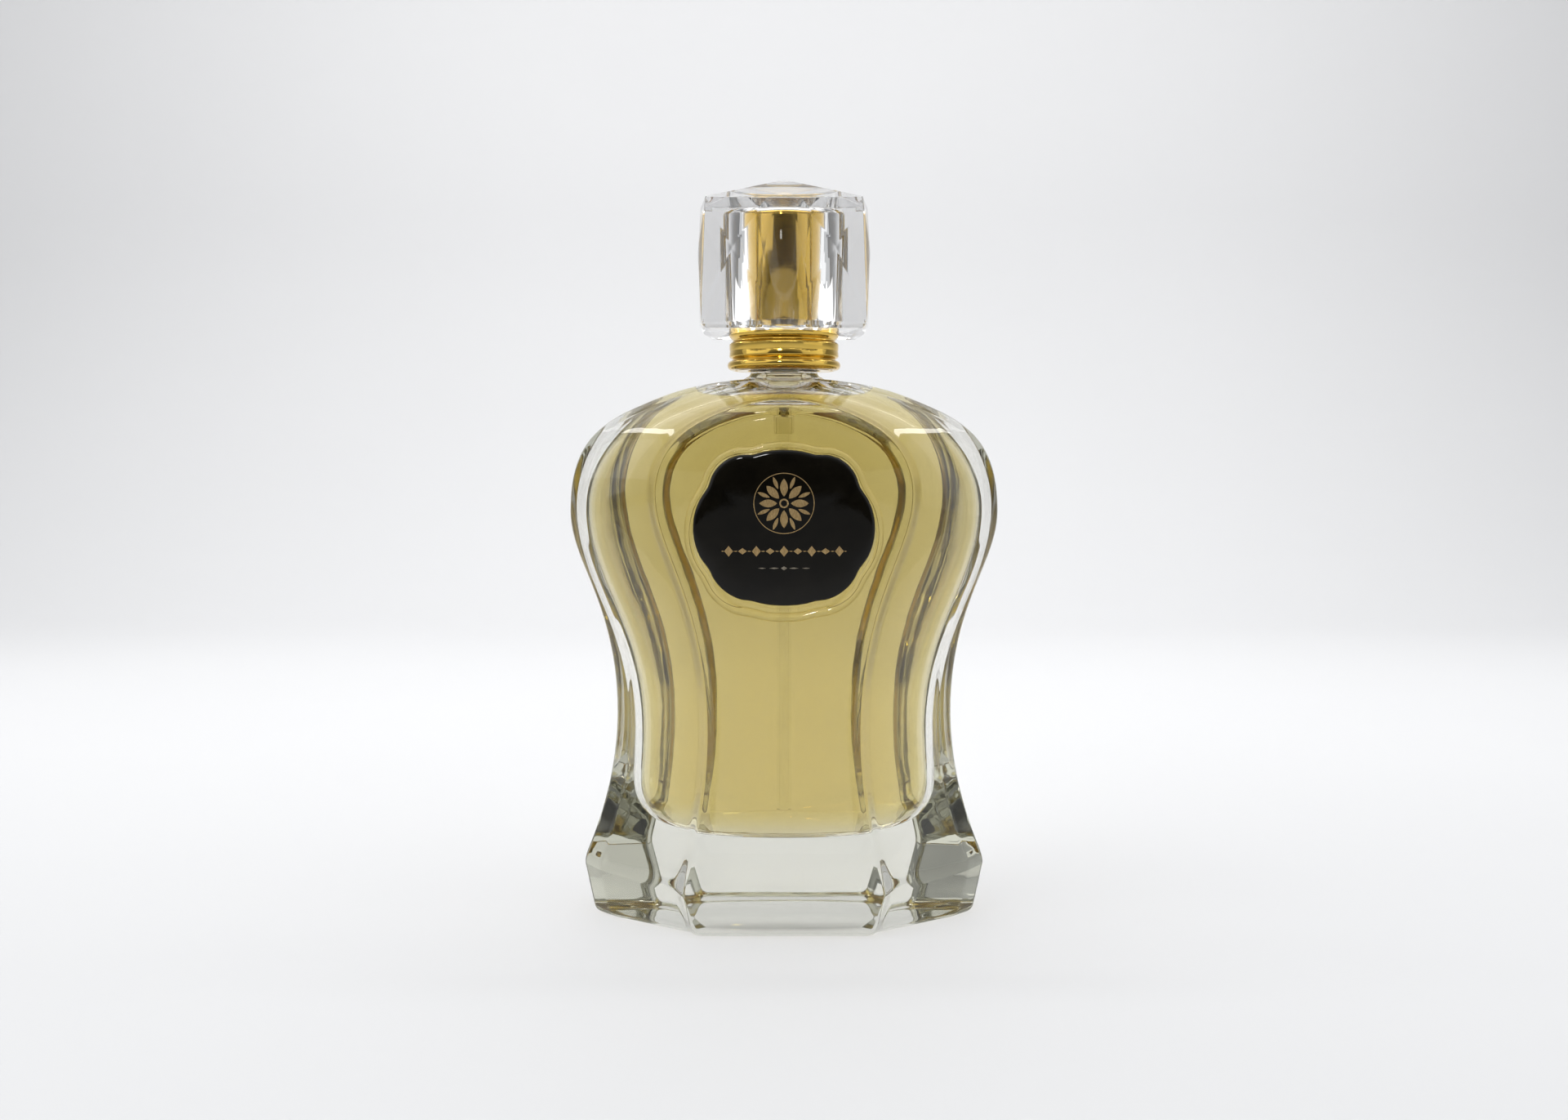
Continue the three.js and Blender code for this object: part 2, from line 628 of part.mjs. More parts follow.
function capSleeve() {
  const inner = SLEEVE_R - SLEEVE_WALL;
  const ceiling = SLEEVE_TOP - SLEEVE_WALL;
  return lathe([
    [inner, SLEEVE_BOTTOM], [SLEEVE_R, SLEEVE_BOTTOM], ...roundTop(SLEEVE_R, SLEEVE_TOP),
    [0, ceiling], [inner - 1, ceiling], [inner, ceiling - 1],
  ], FINE);
}

function capLiner() {
  return lathe([
    [LINER_BORE_R, LINER_BOTTOM], [LINER_FLANGE_R, LINER_BOTTOM],
    [LINER_FLANGE_R, LINER_FLANGE_TOP], [LINER_R, LINER_FLANGE_TOP], [LINER_R, LINER_TOP],
    [LINER_BORE_R, LINER_TOP],
  ], FINE);
}

// ---- Materials and assembly ----------------------------------------------

const MATERIALS = {
  clear_glass: { color: 0xc9cdc8, roughness: 0.03, metalness: 0, opacity: 0.35 },
  pale_perfume: { color: 0xcdb96b, roughness: 0.02, metalness: 0, opacity: 0.75 },
  crystal: { color: 0xe9ecee, roughness: 0.02, metalness: 0, opacity: 0.35 },
  gold: { color: 0xc79a3c, roughness: 0.12, metalness: 1 },
  black_gloss: { color: 0x0c0c0d, roughness: 0.08, metalness: 0 },
  gold_foil: { color: 0xb08a4c, roughness: 0.3, metalness: 1 },
  adhesive: { color: 0xd8d4c6, roughness: 0.6, metalness: 0 },
  steel: { color: 0xb9bcc0, roughness: 0.2, metalness: 1 },
  natural_plastic: { color: 0xe6e4dc, roughness: 0.35, metalness: 0 },
  white_plastic: { color: 0xf0efea, roughness: 0.4, metalness: 0 },
  seal_rubber: { color: 0x55565a, roughness: 0.7, metalness: 0 },
};

function part(name, material, geometry) {
  const settings = { ...MATERIALS[material], transparent: 'opacity' in MATERIALS[material] };
  const mesh = new THREE.Mesh(geometry, new THREE.MeshStandardMaterial(settings));
  mesh.name = name;
  return mesh;
}

function bottleBody() {
  const body = new THREE.Group();
  const padY = -BODY_HALF_DEPTH - FACE_GAP;
  const foilY = plaqueFront() - FACE_GAP;
  const plaque = frontPlate(scallopShape(0), plaqueBack(), PLAQUE_DEPTH, PLAQUE_EDGE);
  body.add(
    part('glass_bottle', 'clear_glass', glassBottle()),
    part('perfume_liquid', 'pale_perfume', perfumeLiquid()),
    part('plaque_adhesive', 'adhesive', frontPlate(scallopShape(-PAD_INSET), padY, PAD_DEPTH)),
    part('label_plaque', 'black_gloss', plaque),
    part('ornament_rosette', 'gold_foil', frontPlate(rosetteShape(), foilY, FOIL_DEPTH)),
    part('ornament_rule', 'gold_foil', frontPlate(ruleShape(), foilY, FOIL_DEPTH)),
    part('ornament_accent', 'gold_foil', frontPlate(accentShape(), foilY, FOIL_DEPTH)),
  );
  return body;
}

function sprayPump() {
  const pump = new THREE.Group();
  const tube = lathe([
    [TUBE_BORE_R, TUBE_BOTTOM], [TUBE_R, TUBE_BOTTOM], [TUBE_R, TUBE_TOP],
    [TUBE_BORE_R, TUBE_TOP],
  ], 16);
  const ball = new THREE.SphereGeometry(BALL_R, 16, 10);
  const restOnSeat = SEAT_Z + Math.sqrt(BALL_R ** 2 - SEAT_R ** 2) + 0.04;
  pump.add(
    part('crimp_ferrule', 'gold', crimpFerrule()),
    part('neck_gasket', 'seal_rubber', neckGasket()),
    part('pump_housing', 'natural_plastic', pumpHousing()),
    part('stem_guide', 'white_plastic', stemGuide()),
    part('dip_tube', 'natural_plastic', tube),
    part('inlet_ball', 'steel', ball.translate(0, 0, restOnSeat)),
    part('return_spring', 'steel', returnSpring()),
    part('pump_stem', 'white_plastic', pumpStem()),
    part('piston_seal', 'natural_plastic', pistonSeal()),
    part('head_core', 'white_plastic', headCore()),
    part('head_shell', 'gold', headShell()),
    part('spray_insert', 'white_plastic', sprayInsert()),
  );
  return pump;
}

function collarAndCap() {
  const top = new THREE.Group();
  top.add(
    part('collar', 'gold', collar()),
    part('cap_block', 'crystal', capBlock()),
    part('cap_sleeve', 'gold', capSleeve()),
    part('cap_liner', 'white_plastic', capLiner()),
  );
  return top;
}

const group = new THREE.Group();
group.add(bottleBody(), sprayPump(), collarAndCap());

export default group;
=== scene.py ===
"""Looks for a waisted glass perfume bottle with a spray pump and a faceted cap.

Shapes are worked out in millimetres in the frame's own axes (front towards -Y)
and written to the meshes in metres.
"""

import math

import bmesh
import bpy
import numpy as np
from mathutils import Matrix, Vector
from mathutils.geometry import tessellate_polygon


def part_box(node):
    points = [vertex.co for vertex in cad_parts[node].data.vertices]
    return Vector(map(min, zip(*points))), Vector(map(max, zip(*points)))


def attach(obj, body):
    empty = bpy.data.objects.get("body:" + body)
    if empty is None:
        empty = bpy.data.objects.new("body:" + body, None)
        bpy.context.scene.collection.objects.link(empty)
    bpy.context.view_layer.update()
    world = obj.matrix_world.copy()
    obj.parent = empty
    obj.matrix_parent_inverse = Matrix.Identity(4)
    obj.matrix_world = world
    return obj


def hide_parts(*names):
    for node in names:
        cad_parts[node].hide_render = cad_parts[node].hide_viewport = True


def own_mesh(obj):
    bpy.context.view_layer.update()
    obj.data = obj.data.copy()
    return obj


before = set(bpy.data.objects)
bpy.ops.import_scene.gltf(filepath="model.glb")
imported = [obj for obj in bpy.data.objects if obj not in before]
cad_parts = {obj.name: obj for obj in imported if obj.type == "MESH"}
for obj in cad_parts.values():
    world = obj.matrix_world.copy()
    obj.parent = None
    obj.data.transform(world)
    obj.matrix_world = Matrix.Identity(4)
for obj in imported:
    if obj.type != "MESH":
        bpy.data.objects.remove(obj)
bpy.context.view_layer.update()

MM = 0.001
TINY = 1e-6
MERGE_DISTANCE = 1e-7
SCENE = bpy.context.scene

# ---- Camera --------------------------------------------------------------

CAMERA_DISTANCE = 268.0
CAMERA_HEIGHT = 77.0
CAMERA_LENS = 35.6
CAMERA_SHIFT = -0.0654


def make_camera():
    data = bpy.data.cameras.new("camera")
    data.lens = CAMERA_LENS
    data.sensor_width = 36.0
    data.shift_y = CAMERA_SHIFT
    data.clip_start = 0.01
    camera = bpy.data.objects.new("camera", data)
    camera.location = (0.0, -CAMERA_DISTANCE * MM, CAMERA_HEIGHT * MM)
    camera.rotation_euler = (math.radians(90.0), 0.0, 0.0)
    SCENE.collection.objects.link(camera)
    SCENE.camera = camera


make_camera()

# ---- Driving dimensions, in millimetres ----------------------------------


def node_box(node):
    """Lowest and highest corners of a CAD node in millimetres."""
    low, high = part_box(node)
    return np.array(low) / MM, np.array(high) / MM


GLASS_HIGH = node_box("glass_bottle")[1]
PLAQUE_LOW, PLAQUE_HIGH = node_box("label_plaque")
COLLAR_LOW, COLLAR_HIGH = node_box("collar")
CAP_LOW, CAP_HIGH = node_box("cap_block")
SLEEVE_LOW, SLEEVE_HIGH = node_box("cap_sleeve")
LINER_LOW, LINER_HIGH = node_box("cap_liner")
FERRULE_LOW, FERRULE_HIGH = node_box("crimp_ferrule")
GASKET_LOW, GASKET_HIGH = node_box("neck_gasket")
HOUSING_LOW, HOUSING_HIGH = node_box("pump_housing")
TUBE_LOW, TUBE_HIGH = node_box("dip_tube")
STEM_LOW, STEM_HIGH = node_box("pump_stem")
SPRING_LOW, SPRING_HIGH = node_box("return_spring")
HEAD_LOW, HEAD_HIGH = node_box("head_shell")
CORE_LOW, CORE_HIGH = node_box("head_core")
INSERT_LOW, INSERT_HIGH = node_box("spray_insert")
LIQUID_TOP = node_box("perfume_liquid")[1][2]

HALF_DEPTH = 19.5
CHEST_HALF = GLASS_HIGH[0]
LIP_TOP = GLASS_HIGH[2]
LIP_R = 7.45
SHOULDER_TOP = 90.5
NECK_R = 5.8
NECK_BORE_R = 4.6
FLOOR_Z = 15.0
CAVITY_HALF_DEPTH = 13.5
FOOT_TURN = 1.4
GIRDLE_TURN = 1.0
FOOT_EDGE_R = 1.1
STATION_UNIT = 16.0
STATION_STEP = 1.2

# ---- Mesh helpers --------------------------------------------------------


def new_object(name, points, faces):
    """An object from points in millimetres, with doubled points merged."""
    mesh = bpy.data.meshes.new(name)
    mesh.from_pydata([tuple(c * MM for c in p) for p in points], [], faces)
    bm = bmesh.new()
    bm.from_mesh(mesh)
    bmesh.ops.remove_doubles(bm, verts=bm.verts, dist=MERGE_DISTANCE)
    bmesh.ops.recalc_face_normals(bm, faces=bm.faces)
    bm.to_mesh(mesh)
    bm.free()
    obj = bpy.data.objects.new(name, mesh)
    SCENE.collection.objects.link(obj)
    return obj


def shade(obj, angle=32.0):
    """Smooth shading with crisp edges where faces meet at more than angle."""
    mesh = obj.data
    mesh.polygons.foreach_set("use_smooth", [True] * len(mesh.polygons))
    mesh.set_sharp_from_angle(angle=math.radians(angle))
    return obj


def place(obj, material, body, nodes, angle=32.0):
    """Gives a finished piece its shading, material, body and CAD nodes."""
    shade(obj, angle)
    obj.data.materials.clear()
    obj.data.materials.append(material)
    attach(obj, body)
    if nodes:
        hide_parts(*nodes)
    return obj


def pass_light(obj):
    """Clear pieces cast no shadow, as the light goes through them."""
    obj.visible_shadow = False


def bezier(points, count):
    """Points along a Bezier curve of any degree, both ends included."""
    t = np.linspace(0.0, 1.0, count)[:, None]
    level = [np.array(p, float)[None, :] * np.ones_like(t) for p in points]
    while len(level) > 1:
        level = [a * (1 - t) + b * t for a, b in zip(level, level[1:])]
    return level[0]


def rounded(points, cut, steps=5, closed=True):
    """A polyline whose corners are turned over a length of cut at each side.

    A corner on the axis stays sharp, and a turn takes less than half of an edge.
    """
    most = 0.45
    points = [np.array(p, float) for p in points]
    count = len(points)
    result = []
    for i, corner in enumerate(points):
        if not closed and i in (0, count - 1):
            result.append(corner)
            continue
        before = points[i - 1] - corner
        after = points[(i + 1) % count] - corner
        lengths = np.linalg.norm(before), np.linalg.norm(after)
        if corner[0] < TINY or min(lengths) < TINY:
            result.append(corner)
            continue
        start = corner + before * min(cut / lengths[0], most)
        end = corner + after * min(cut / lengths[1], most)
        result.extend(bezier([start, corner, end], steps))
    return np.array(result)


def loft(rings, close_ends=True):
    """Quads between rings of equal length, the ends filled with one face."""
    count = len(rings[0])
    points = [tuple(p) for ring in rings for p in ring]
    faces = []
    for r in range(len(rings) - 1):
        for i in range(count):
            j = (i + 1) % count
            low, high = r * count, (r + 1) * count
            faces.append((low + i, low + j, high + j, high + i))
    if close_ends:
        faces.append(tuple(range(count))[::-1])
        faces.append(tuple(range((len(rings) - 1) * count, len(points))))
    return points, faces


def lathe(name, profile, segments=96):
    """A solid of revolution about Z from a closed profile of (radius, z)."""
    count = len(profile)
    points, faces = [], []
    for s in range(segments):
        angle = 2 * math.pi * s / segments
        for r, z in profile:
            points.append((r * math.cos(angle), r * math.sin(angle), z))
    for s in range(segments):
        here, there = s * count, ((s + 1) % segments) * count
        for i in range(count):
            j = (i + 1) % count
            if profile[i][0] < TINY and profile[j][0] < TINY:
                continue
            faces.append((here + i, there + i, there + j, here + j))
    return new_object(name, points, faces)


def combine(base, tool, operation):
    """Joins or cuts base with tool and deletes tool."""
    modifier = base.modifiers.new("boolean", "BOOLEAN")
    modifier.operation = operation
    modifier.solver = "EXACT"
    modifier.object = tool
    graph = bpy.context.evaluated_depsgraph_get()
    mesh = bpy.data.meshes.new_from_object(base.evaluated_get(graph))
    base.modifiers.clear()
    base.data = mesh
    bpy.data.objects.remove(tool)
    return base


# ---- Materials -----------------------------------------------------------


def principled(name, color, roughness, **sockets):
    """A Principled material; extra sockets are named with underscores."""
    material = bpy.data.materials.new(name)
    material.use_nodes = True
    shader = material.node_tree.nodes["Principled BSDF"]
    shader.inputs["Base Color"].default_value = (*color, 1.0)
    shader.inputs["Roughness"].default_value = roughness
    for socket, value in sockets.items():
        shader.inputs[socket.replace("_", " ")].default_value = value
    return material


def noise_node(material, scale, detail=3.0, stretch=(1, 1, 1)):
    """Noise in the object's own place; features are about 1/scale metres."""
    nodes, links = material.node_tree.nodes, material.node_tree.links
    where = nodes.new("ShaderNodeTexCoord")
    mapping = nodes.new("ShaderNodeMapping")
    mapping.inputs["Scale"].default_value = stretch
    noise = nodes.new("ShaderNodeTexNoise")
    noise.inputs["Scale"].default_value = scale
    noise.inputs["Detail"].default_value = detail
    links.new(where.outputs["Object"], mapping.inputs["Vector"])
    links.new(mapping.outputs["Vector"], noise.inputs["Vector"])
    return noise


def add_bump(material, scale, depth, detail=3.0, stretch=(1, 1, 1)):
    """A surface relief of about depth metres."""
    nodes, links = material.node_tree.nodes, material.node_tree.links
    bump = nodes.new("ShaderNodeBump")
    bump.inputs["Strength"].default_value = 1.0
    bump.inputs["Distance"].default_value = depth
    noise = noise_node(material, scale, detail, stretch)
    links.new(noise.outputs["Fac"], bump.inputs["Height"])
    links.new(bump.outputs["Normal"], nodes["Principled BSDF"].inputs["Normal"])


# The noise seldom leaves this part of its range, so it is spread over the whole change.
NOISE_LOW, NOISE_HIGH = 0.3, 0.7


def vary_roughness(material, scale, low, high, stretch=(1, 1, 1)):
    nodes, links = material.node_tree.nodes, material.node_tree.links
    spread = nodes.new("ShaderNodeMapRange")
    spread.inputs["From Min"].default_value = NOISE_LOW
    spread.inputs["From Max"].default_value = NOISE_HIGH
    spread.inputs["To Min"].default_value = low
    spread.inputs["To Max"].default_value = high
    noise = noise_node(material, scale, 4.0, stretch)
    links.new(noise.outputs["Fac"], spread.inputs["Value"])
    links.new(spread.outputs["Result"], nodes["Principled BSDF"].inputs["Roughness"])


def set_tones(ramp, tones):
    """Gives a colour ramp its tones, a list of (position, color) going up."""
    elements = ramp.color_ramp.elements
    for element, (position, color) in zip(elements, (tones[0], tones[-1])):
        element.position = position
        element.color = (*color, 1.0)
    for position, color in tones[1:-1]:
        elements.new(position).color = (*color, 1.0)


def vary_color(material, scale, dark, light, stretch=(1, 1, 1)):
    nodes, links = material.node_tree.nodes, material.node_tree.links
    ramp = nodes.new("ShaderNodeValToRGB")
    set_tones(ramp, [(NOISE_LOW, dark), (NOISE_HIGH, light)])
    noise = noise_node(material, scale, 4.0, stretch)
    links.new(noise.outputs["Fac"], ramp.inputs["Fac"])
    links.new(ramp.outputs["Color"], nodes["Principled BSDF"].inputs["Base Color"])


def absorb(material, color, density):
    """Tints what light passes through the inside."""
    nodes, links = material.node_tree.nodes, material.node_tree.links
    volume = nodes.new("ShaderNodeVolumeAbsorption")
    volume.inputs["Color"].default_value = (*color, 1.0)
    volume.inputs["Density"].default_value = density
    links.new(volume.outputs["Volume"], nodes["Material Output"].inputs["Volume"])


# Base colour and roughness of clear pieces; their tint comes from absorption.
WHOLE = (1, 1, 1)
POLISHED = 0.0


def glass_material():
    material = principled("clear_glass", WHOLE, POLISHED, IOR=1.5, Transmission_Weight=1.0)
    add_bump(material, scale=110.0, depth=0.00004, detail=2.0)
    absorb(material, (0.80, 0.80, 0.75), density=45.0)
    return material


def liquid_material():
    material = principled("pale_perfume", WHOLE, POLISHED, IOR=1.36, Transmission_Weight=1.0)
    vary_color(material, 40.0, (0.985, 0.985, 0.97), (1.0, 1.0, 1.0))
    add_bump(material, scale=130.0, depth=0.00006, detail=2.0)
    absorb(material, (0.785, 0.675, 0.10), density=80.0)
    return material


def crystal_material():
    material = principled("crystal", WHOLE, POLISHED, IOR=1.49, Transmission_Weight=1.0)
    add_bump(material, scale=160.0, depth=0.00001, detail=2.0)
    absorb(material, (0.80, 0.80, 0.80), density=45.0)
    return material


def gold_material():
    material = principled("gold", (0.68, 0.455, 0.095), 0.08, Metallic=1.0)
    vary_color(material, 260.0, (0.65, 0.43, 0.085), (0.71, 0.48, 0.105))
    vary_roughness(material, scale=500.0, low=0.045, high=0.12, stretch=(1, 1, 6))
    return material


def foil_material(name, dark, light):
    material = principled(name, light, 0.34, Metallic=0.9)
    vary_color(material, 2500.0, dark, light, (3, 1, 1))
    add_bump(material, scale=3000.0, depth=0.000004, detail=2.0)
    return material


def lacquer_material():
    material = principled("black_gloss", (0.004, 0.0035, 0.002), 0.1, IOR=1.3)
    vary_color(material, 350.0, (0.003, 0.0025, 0.0015), (0.006, 0.005, 0.003))
    vary_roughness(material, scale=1400.0, low=0.03, high=0.08)
    add_bump(material, scale=900.0, depth=0.0000015, detail=4.0)
    return material


def metal_material(name, dark, light, low, high, stretch):
    material = principled(name, light, high, Metallic=1.0)
    vary_color(material, 600.0, dark, light, stretch)
    vary_roughness(material, 900.0, low, high, stretch)
    return material


def plastic_material(name, dark, light, roughness, see_through=0.0):
    material = principled(name, light, roughness, IOR=1.49, Transmission_Weight=see_through,
                          Subsurface_Weight=0.15, Subsurface_Scale=0.001)
    vary_color(material, 300.0, dark, light)
    add_bump(material, scale=1500.0, depth=0.000008)
    return material


def tube_material():
    """Clear plastic inside the liquid; its IOR is against the liquid's."""
    material = principled("tube_plastic", (0.97, 0.97, 0.95), POLISHED, IOR=1.025,
                          Transmission_Weight=1.0)
    vary_color(material, 200.0, (0.95, 0.95, 0.93), (0.99, 0.99, 0.97))
    return material


def cloudy_material():
    """Moulded pump plastic in the liquid; its IOR is against the liquid's."""
    material = principled("cloudy_plastic", (0.93, 0.92, 0.88), 0.12, IOR=1.04,
                          Transmission_Weight=1.0)
    vary_color(material, 200.0, (0.90, 0.89, 0.84), (0.96, 0.95, 0.91))
    return material


GLASS = glass_material()
LIQUID = liquid_material()
CRYSTAL = crystal_material()
GOLD = gold_material()
FOIL = foil_material("gold_foil", (0.40, 0.26, 0.11), (0.62, 0.44, 0.21))
PALE_FOIL = foil_material("pale_foil", (0.25, 0.22, 0.17), (0.36, 0.32, 0.25))
LACQUER = lacquer_material()
STEEL = metal_material("steel", (0.60, 0.60, 0.61), (0.74, 0.74, 0.75), 0.12, 0.24, (1, 1, 1))
NATURAL = plastic_material("natural_plastic", (0.80, 0.80, 0.78), (0.90, 0.90, 0.88), 0.25, 0.35)
CLOUDY = cloudy_material()
CLEAR_TUBE = tube_material()
WHITE = plastic_material("white_plastic", (0.83, 0.83, 0.80), (0.90, 0.90, 0.88), 0.38)
RUBBER = plastic_material("seal_rubber", (0.07, 0.07, 0.075), (0.11, 0.11, 0.115), 0.6)
ADHESIVE = plastic_material("adhesive", (0.50, 0.48, 0.44), (0.58, 0.56, 0.52), 0.6)

# ---- Glass body ----------------------------------------------------------


def half_outline(foot, girdle, pieces):
    """Half an outline from the middle of the bottom to the middle of the top.

    The turn at the girdle runs into the first curve at one of its points.
    """
    turn_steps, flat_steps, first_steps, curve_steps, join = 7, 6, 40, 26, 3
    bottom = [(0.0, 0.0), (foot[0] * 0.5, 0.0)]
    slope = (girdle - foot) / np.linalg.norm(girdle - foot)
    first = bezier(pieces[0], first_steps)
    flat_start = foot + slope * FOOT_TURN
    flat_end = girdle - slope * GIRDLE_TURN
    foot_turn = bezier([foot - (FOOT_TURN, 0.0), foot, flat_start], turn_steps)
    flat = np.linspace(flat_start, flat_end, flat_steps)
    girdle_turn = bezier([flat_end, girdle, first[join]], turn_steps)
    parts = [bottom, foot_turn, flat[1:], girdle_turn[1:], first[join + 1:]]
    parts += [bezier(piece, curve_steps)[1:] for piece in pieces[1:]]
    return np.vstack(parts)


def silhouette():
    """The outline seen from the front."""
    foot, girdle = np.array((31.9, 0.0)), np.array((33.9, 9.0))
    waist, chest, shoulder = (28.3, 34.0), (CHEST_HALF, 68.0), (27.0, 84.6)
    return half_outline(foot, girdle, [
        [girdle, (30.5, 17.0), (waist[0], 25.0), waist],
        [waist, (waist[0], 52.0), (chest[0], 59.0), chest],
        [chest, (chest[0], 77.5), (33.0, 81.5), shoulder],
        [shoulder, (20.0, 87.9), (14.0, SHOULDER_TOP), (0.0, SHOULDER_TOP)],
    ])


def panel_outline():
    """The outline of the raised panel on the front and on the back."""
    foot, girdle = np.array((14.3, 0.0)), np.array((16.5, 7.0))
    waist, arch, top = (12.6, 33.0), (21.0, 71.0), 86.3
    return half_outline(foot, girdle, [
        [girdle, (14.2, 15.0), (waist[0], 24.0), waist],
        [waist, (waist[0], 54.0), (arch[0], 62.0), arch],
        [arch, (arch[0], 76.2), (18.3, 80.1), (14.0, 82.5)],
        [(14.0, 82.5), (9.5, 85.0), (5.0, top), (0.0, top)],
    ])


def station_path():
    """(depth, blend) from the front panel's edge round to the middle of the side.

    Blend is 1 on the panel's outline and 0 on the silhouette. While the corners
    are rounded it is a length of STATION_UNIT millimetres.
    """
    unit, panel_inset, edge_turn = STATION_UNIT, 0.9, 0.55
    step_foot, slope_foot, side_flat = (17.0, 0.93 * unit), (8.0, 0.165 * unit), (5.0, 0.0)
    corners = [(HALF_DEPTH, unit + panel_inset), (HALF_DEPTH, unit), step_foot, slope_foot,
               side_flat, (0.0, 0.0)]
    path = rounded(corners, edge_turn, 6, closed=False)
    dense = [path[0]]
    for start, end in zip(path, path[1:]):
        steps = max(1, math.ceil(np.linalg.norm(end - start) / STATION_STEP))
        dense += [start + (end - start) * k / steps for k in range(1, steps + 1)]
    return [(depth, blend / unit) for depth, blend in dense]


def foot_lift(depth):
    """How far the bottom rises where its front and back edges are rounded."""
    over = max(0.0, depth - (HALF_DEPTH - FOOT_EDGE_R))
    return FOOT_EDGE_R - math.sqrt(max(0.0, FOOT_EDGE_R ** 2 - over ** 2))


def station_ring(y, blend, outer, inner):
    """The section at one depth; the panel's innermost ring also clears the foot."""
    lifted_height, end_lift = 2.5, 8.0
    half = outer + (inner - outer) * blend
    lift = foot_lift(abs(y)) + end_lift * max(0.0, blend - 1.0)
    lift = lift * np.clip(1 - half[:, 1] / lifted_height, 0.0, 1.0)
    right = np.column_stack([half[:, 0], np.full(len(half), y), half[:, 1] + lift])
    left = right[1:-1][::-1] * (-1.0, 1.0, 1.0)
    return np.vstack([right, left])


def body_blank():
    outer, inner = silhouette(), panel_outline()
    back = station_path()
    front = [(-depth, blend) for depth, blend in back[:-1]][::-1]
    rings = [station_ring(y, blend, outer, inner) for y, blend in back + front]
    return new_object("bottle_glass", *loft(rings))


def cavity_profile():
    """Half width and height of the cavity, from its floor to above the lip."""
    floor, heel, waist, chest = 16.0, 23.1, 22.8, 32.3
    pieces = [
        [(0.5, FLOOR_Z), (floor, FLOOR_Z)],
        [(floor, FLOOR_Z), (21.6, FLOOR_Z), (heel, 18.0), (heel, 22.0)],
        [(heel, 22.0), (heel, 25.0), (waist, 27.5), (waist, 31.0)],
        [(waist, 31.0), (waist, 48.0), (chest, 56.0), (chest, 68.0)],
        [(chest, 68.0), (chest, 79.0), (22.0, 83.5), (12.0, 86.5)],
        [(12.0, 86.5), (NECK_BORE_R, 88.0), (NECK_BORE_R, 91.0)],
        [(NECK_BORE_R, 91.0), (NECK_BORE_R, LIP_TOP + 1.0)],
    ]
    counts = [4, 10, 10, 26, 26, 12, 3]
    parts = [bezier(piece, count)[1:] for piece, count in zip(pieces, counts)]
    return np.vstack([[pieces[0][0]]] + parts)


def cavity_rings(grow, top=None):
    """Rounded oblongs that turn into the round bore, grown by a small amount.

    The depth follows the width up to its limit, and the wider the oblong, the
    squarer it is.
    """
    sides, limit, sharpness, squareness = 128, CAVITY_HALF_DEPTH, 5, 1.7
    angle = 2 * np.pi * (np.arange(sides) + 0.5) / sides
    rings = []
    for half_width, z in cavity_profile():
        if top is not None and z > top:
            break
        span = (half_width ** sharpness + limit ** sharpness) ** (1 / sharpness)
        half_depth = half_width * limit / span
        power = 2 / (2 + squareness * (1 - half_depth / half_width))
        bulge = lambda value: np.sign(value) * np.abs(value) ** power
        x = (half_width + grow) * bulge(np.cos(angle))
        y = (half_depth + grow) * bulge(np.sin(angle))
        height = z - grow if z == FLOOR_Z else z
        rings.append(np.column_stack([x, y, np.full(sides, height)]))
    return rings


def foot_recess():
    """The shallow hollow under the foot, a lens with an oblong outline."""
    half_width, half_depth, depth, sides, squareness = 25.0, 13.5, 0.9, 96, 0.75
    angle = 2 * np.pi * np.arange(sides) / sides
    bulge = lambda value: np.sign(value) * np.abs(value) ** squareness
    rings = []
    for t in np.linspace(1.0, 0.04, 14):
        x = half_width * t * bulge(np.cos(angle))
        y = half_depth * t * bulge(np.sin(angle))
        z = depth * (1 - t ** 2.5) - 0.01 * t
        rings.append(np.column_stack([x, y, np.full(sides, z)]))
    below = rings[0].copy()
    below[:, 2] = -1.0
    return new_object("recess", *loft([below] + rings))


def neck_blank():
    """The neck and its crimp lip, rooted in the body, still without the bore."""
    root, lip_bottom = SHOULDER_TOP - 3.0, 92.4
    profile = rounded([
        (0.0, root), (NECK_R + 2.6, root), (NECK_R + 1.6, SHOULDER_TOP - 0.2),
        (NECK_R, SHOULDER_TOP + 0.6), (NECK_R, lip_bottom), (LIP_R, lip_bottom + 0.5),
        (LIP_R, LIP_TOP), (0.0, LIP_TOP),
    ], 0.5, 5)
    return lathe("neck", profile, 128)


def make_glass():
    glass = combine(body_blank(), neck_blank(), "UNION")
    glass = combine(glass, label_rim(), "UNION")
    cavity = new_object("cavity", *loft(cavity_rings(0.0)))
    glass = combine(glass, cavity, "DIFFERENCE")
    glass = combine(glass, foot_recess(), "DIFFERENCE")
    place(glass, GLASS, "bottle", ["glass_bottle"])
    pass_light(glass)


def make_liquid():
    """The liquid, a hair larger than the cavity so that no air film shows."""
    grow, meniscus = 0.05, ((0.99, 0.25), (0.975, 0.38), (0.95, 0.42))
    rings = cavity_rings(grow, LIQUID_TOP)
    edge = rings[-1].copy()
    edge[:, 2] = LIQUID_TOP
    middle = edge[:, :2].mean(axis=0)
    for inset, drop in meniscus:
        ring = edge.copy()
        ring[:, :2] = middle + (ring[:, :2] - middle) * inset
        ring[:, 2] = LIQUID_TOP - drop
        rings.append(ring)
    rings.insert(-len(meniscus), edge)
    liquid = new_object("perfume", *loft(rings))
    place(liquid, LIQUID, "bottle", ["perfume_liquid"])
    pass_light(liquid)


# ---- Label plaque --------------------------------------------------------

PLAQUE_CENTRE = (PLAQUE_LOW[2] + PLAQUE_HIGH[2]) / 2
PLAQUE_BACK = PLAQUE_HIGH[1]
PLAQUE_DEPTH = PLAQUE_HIGH[1] - PLAQUE_LOW[1]


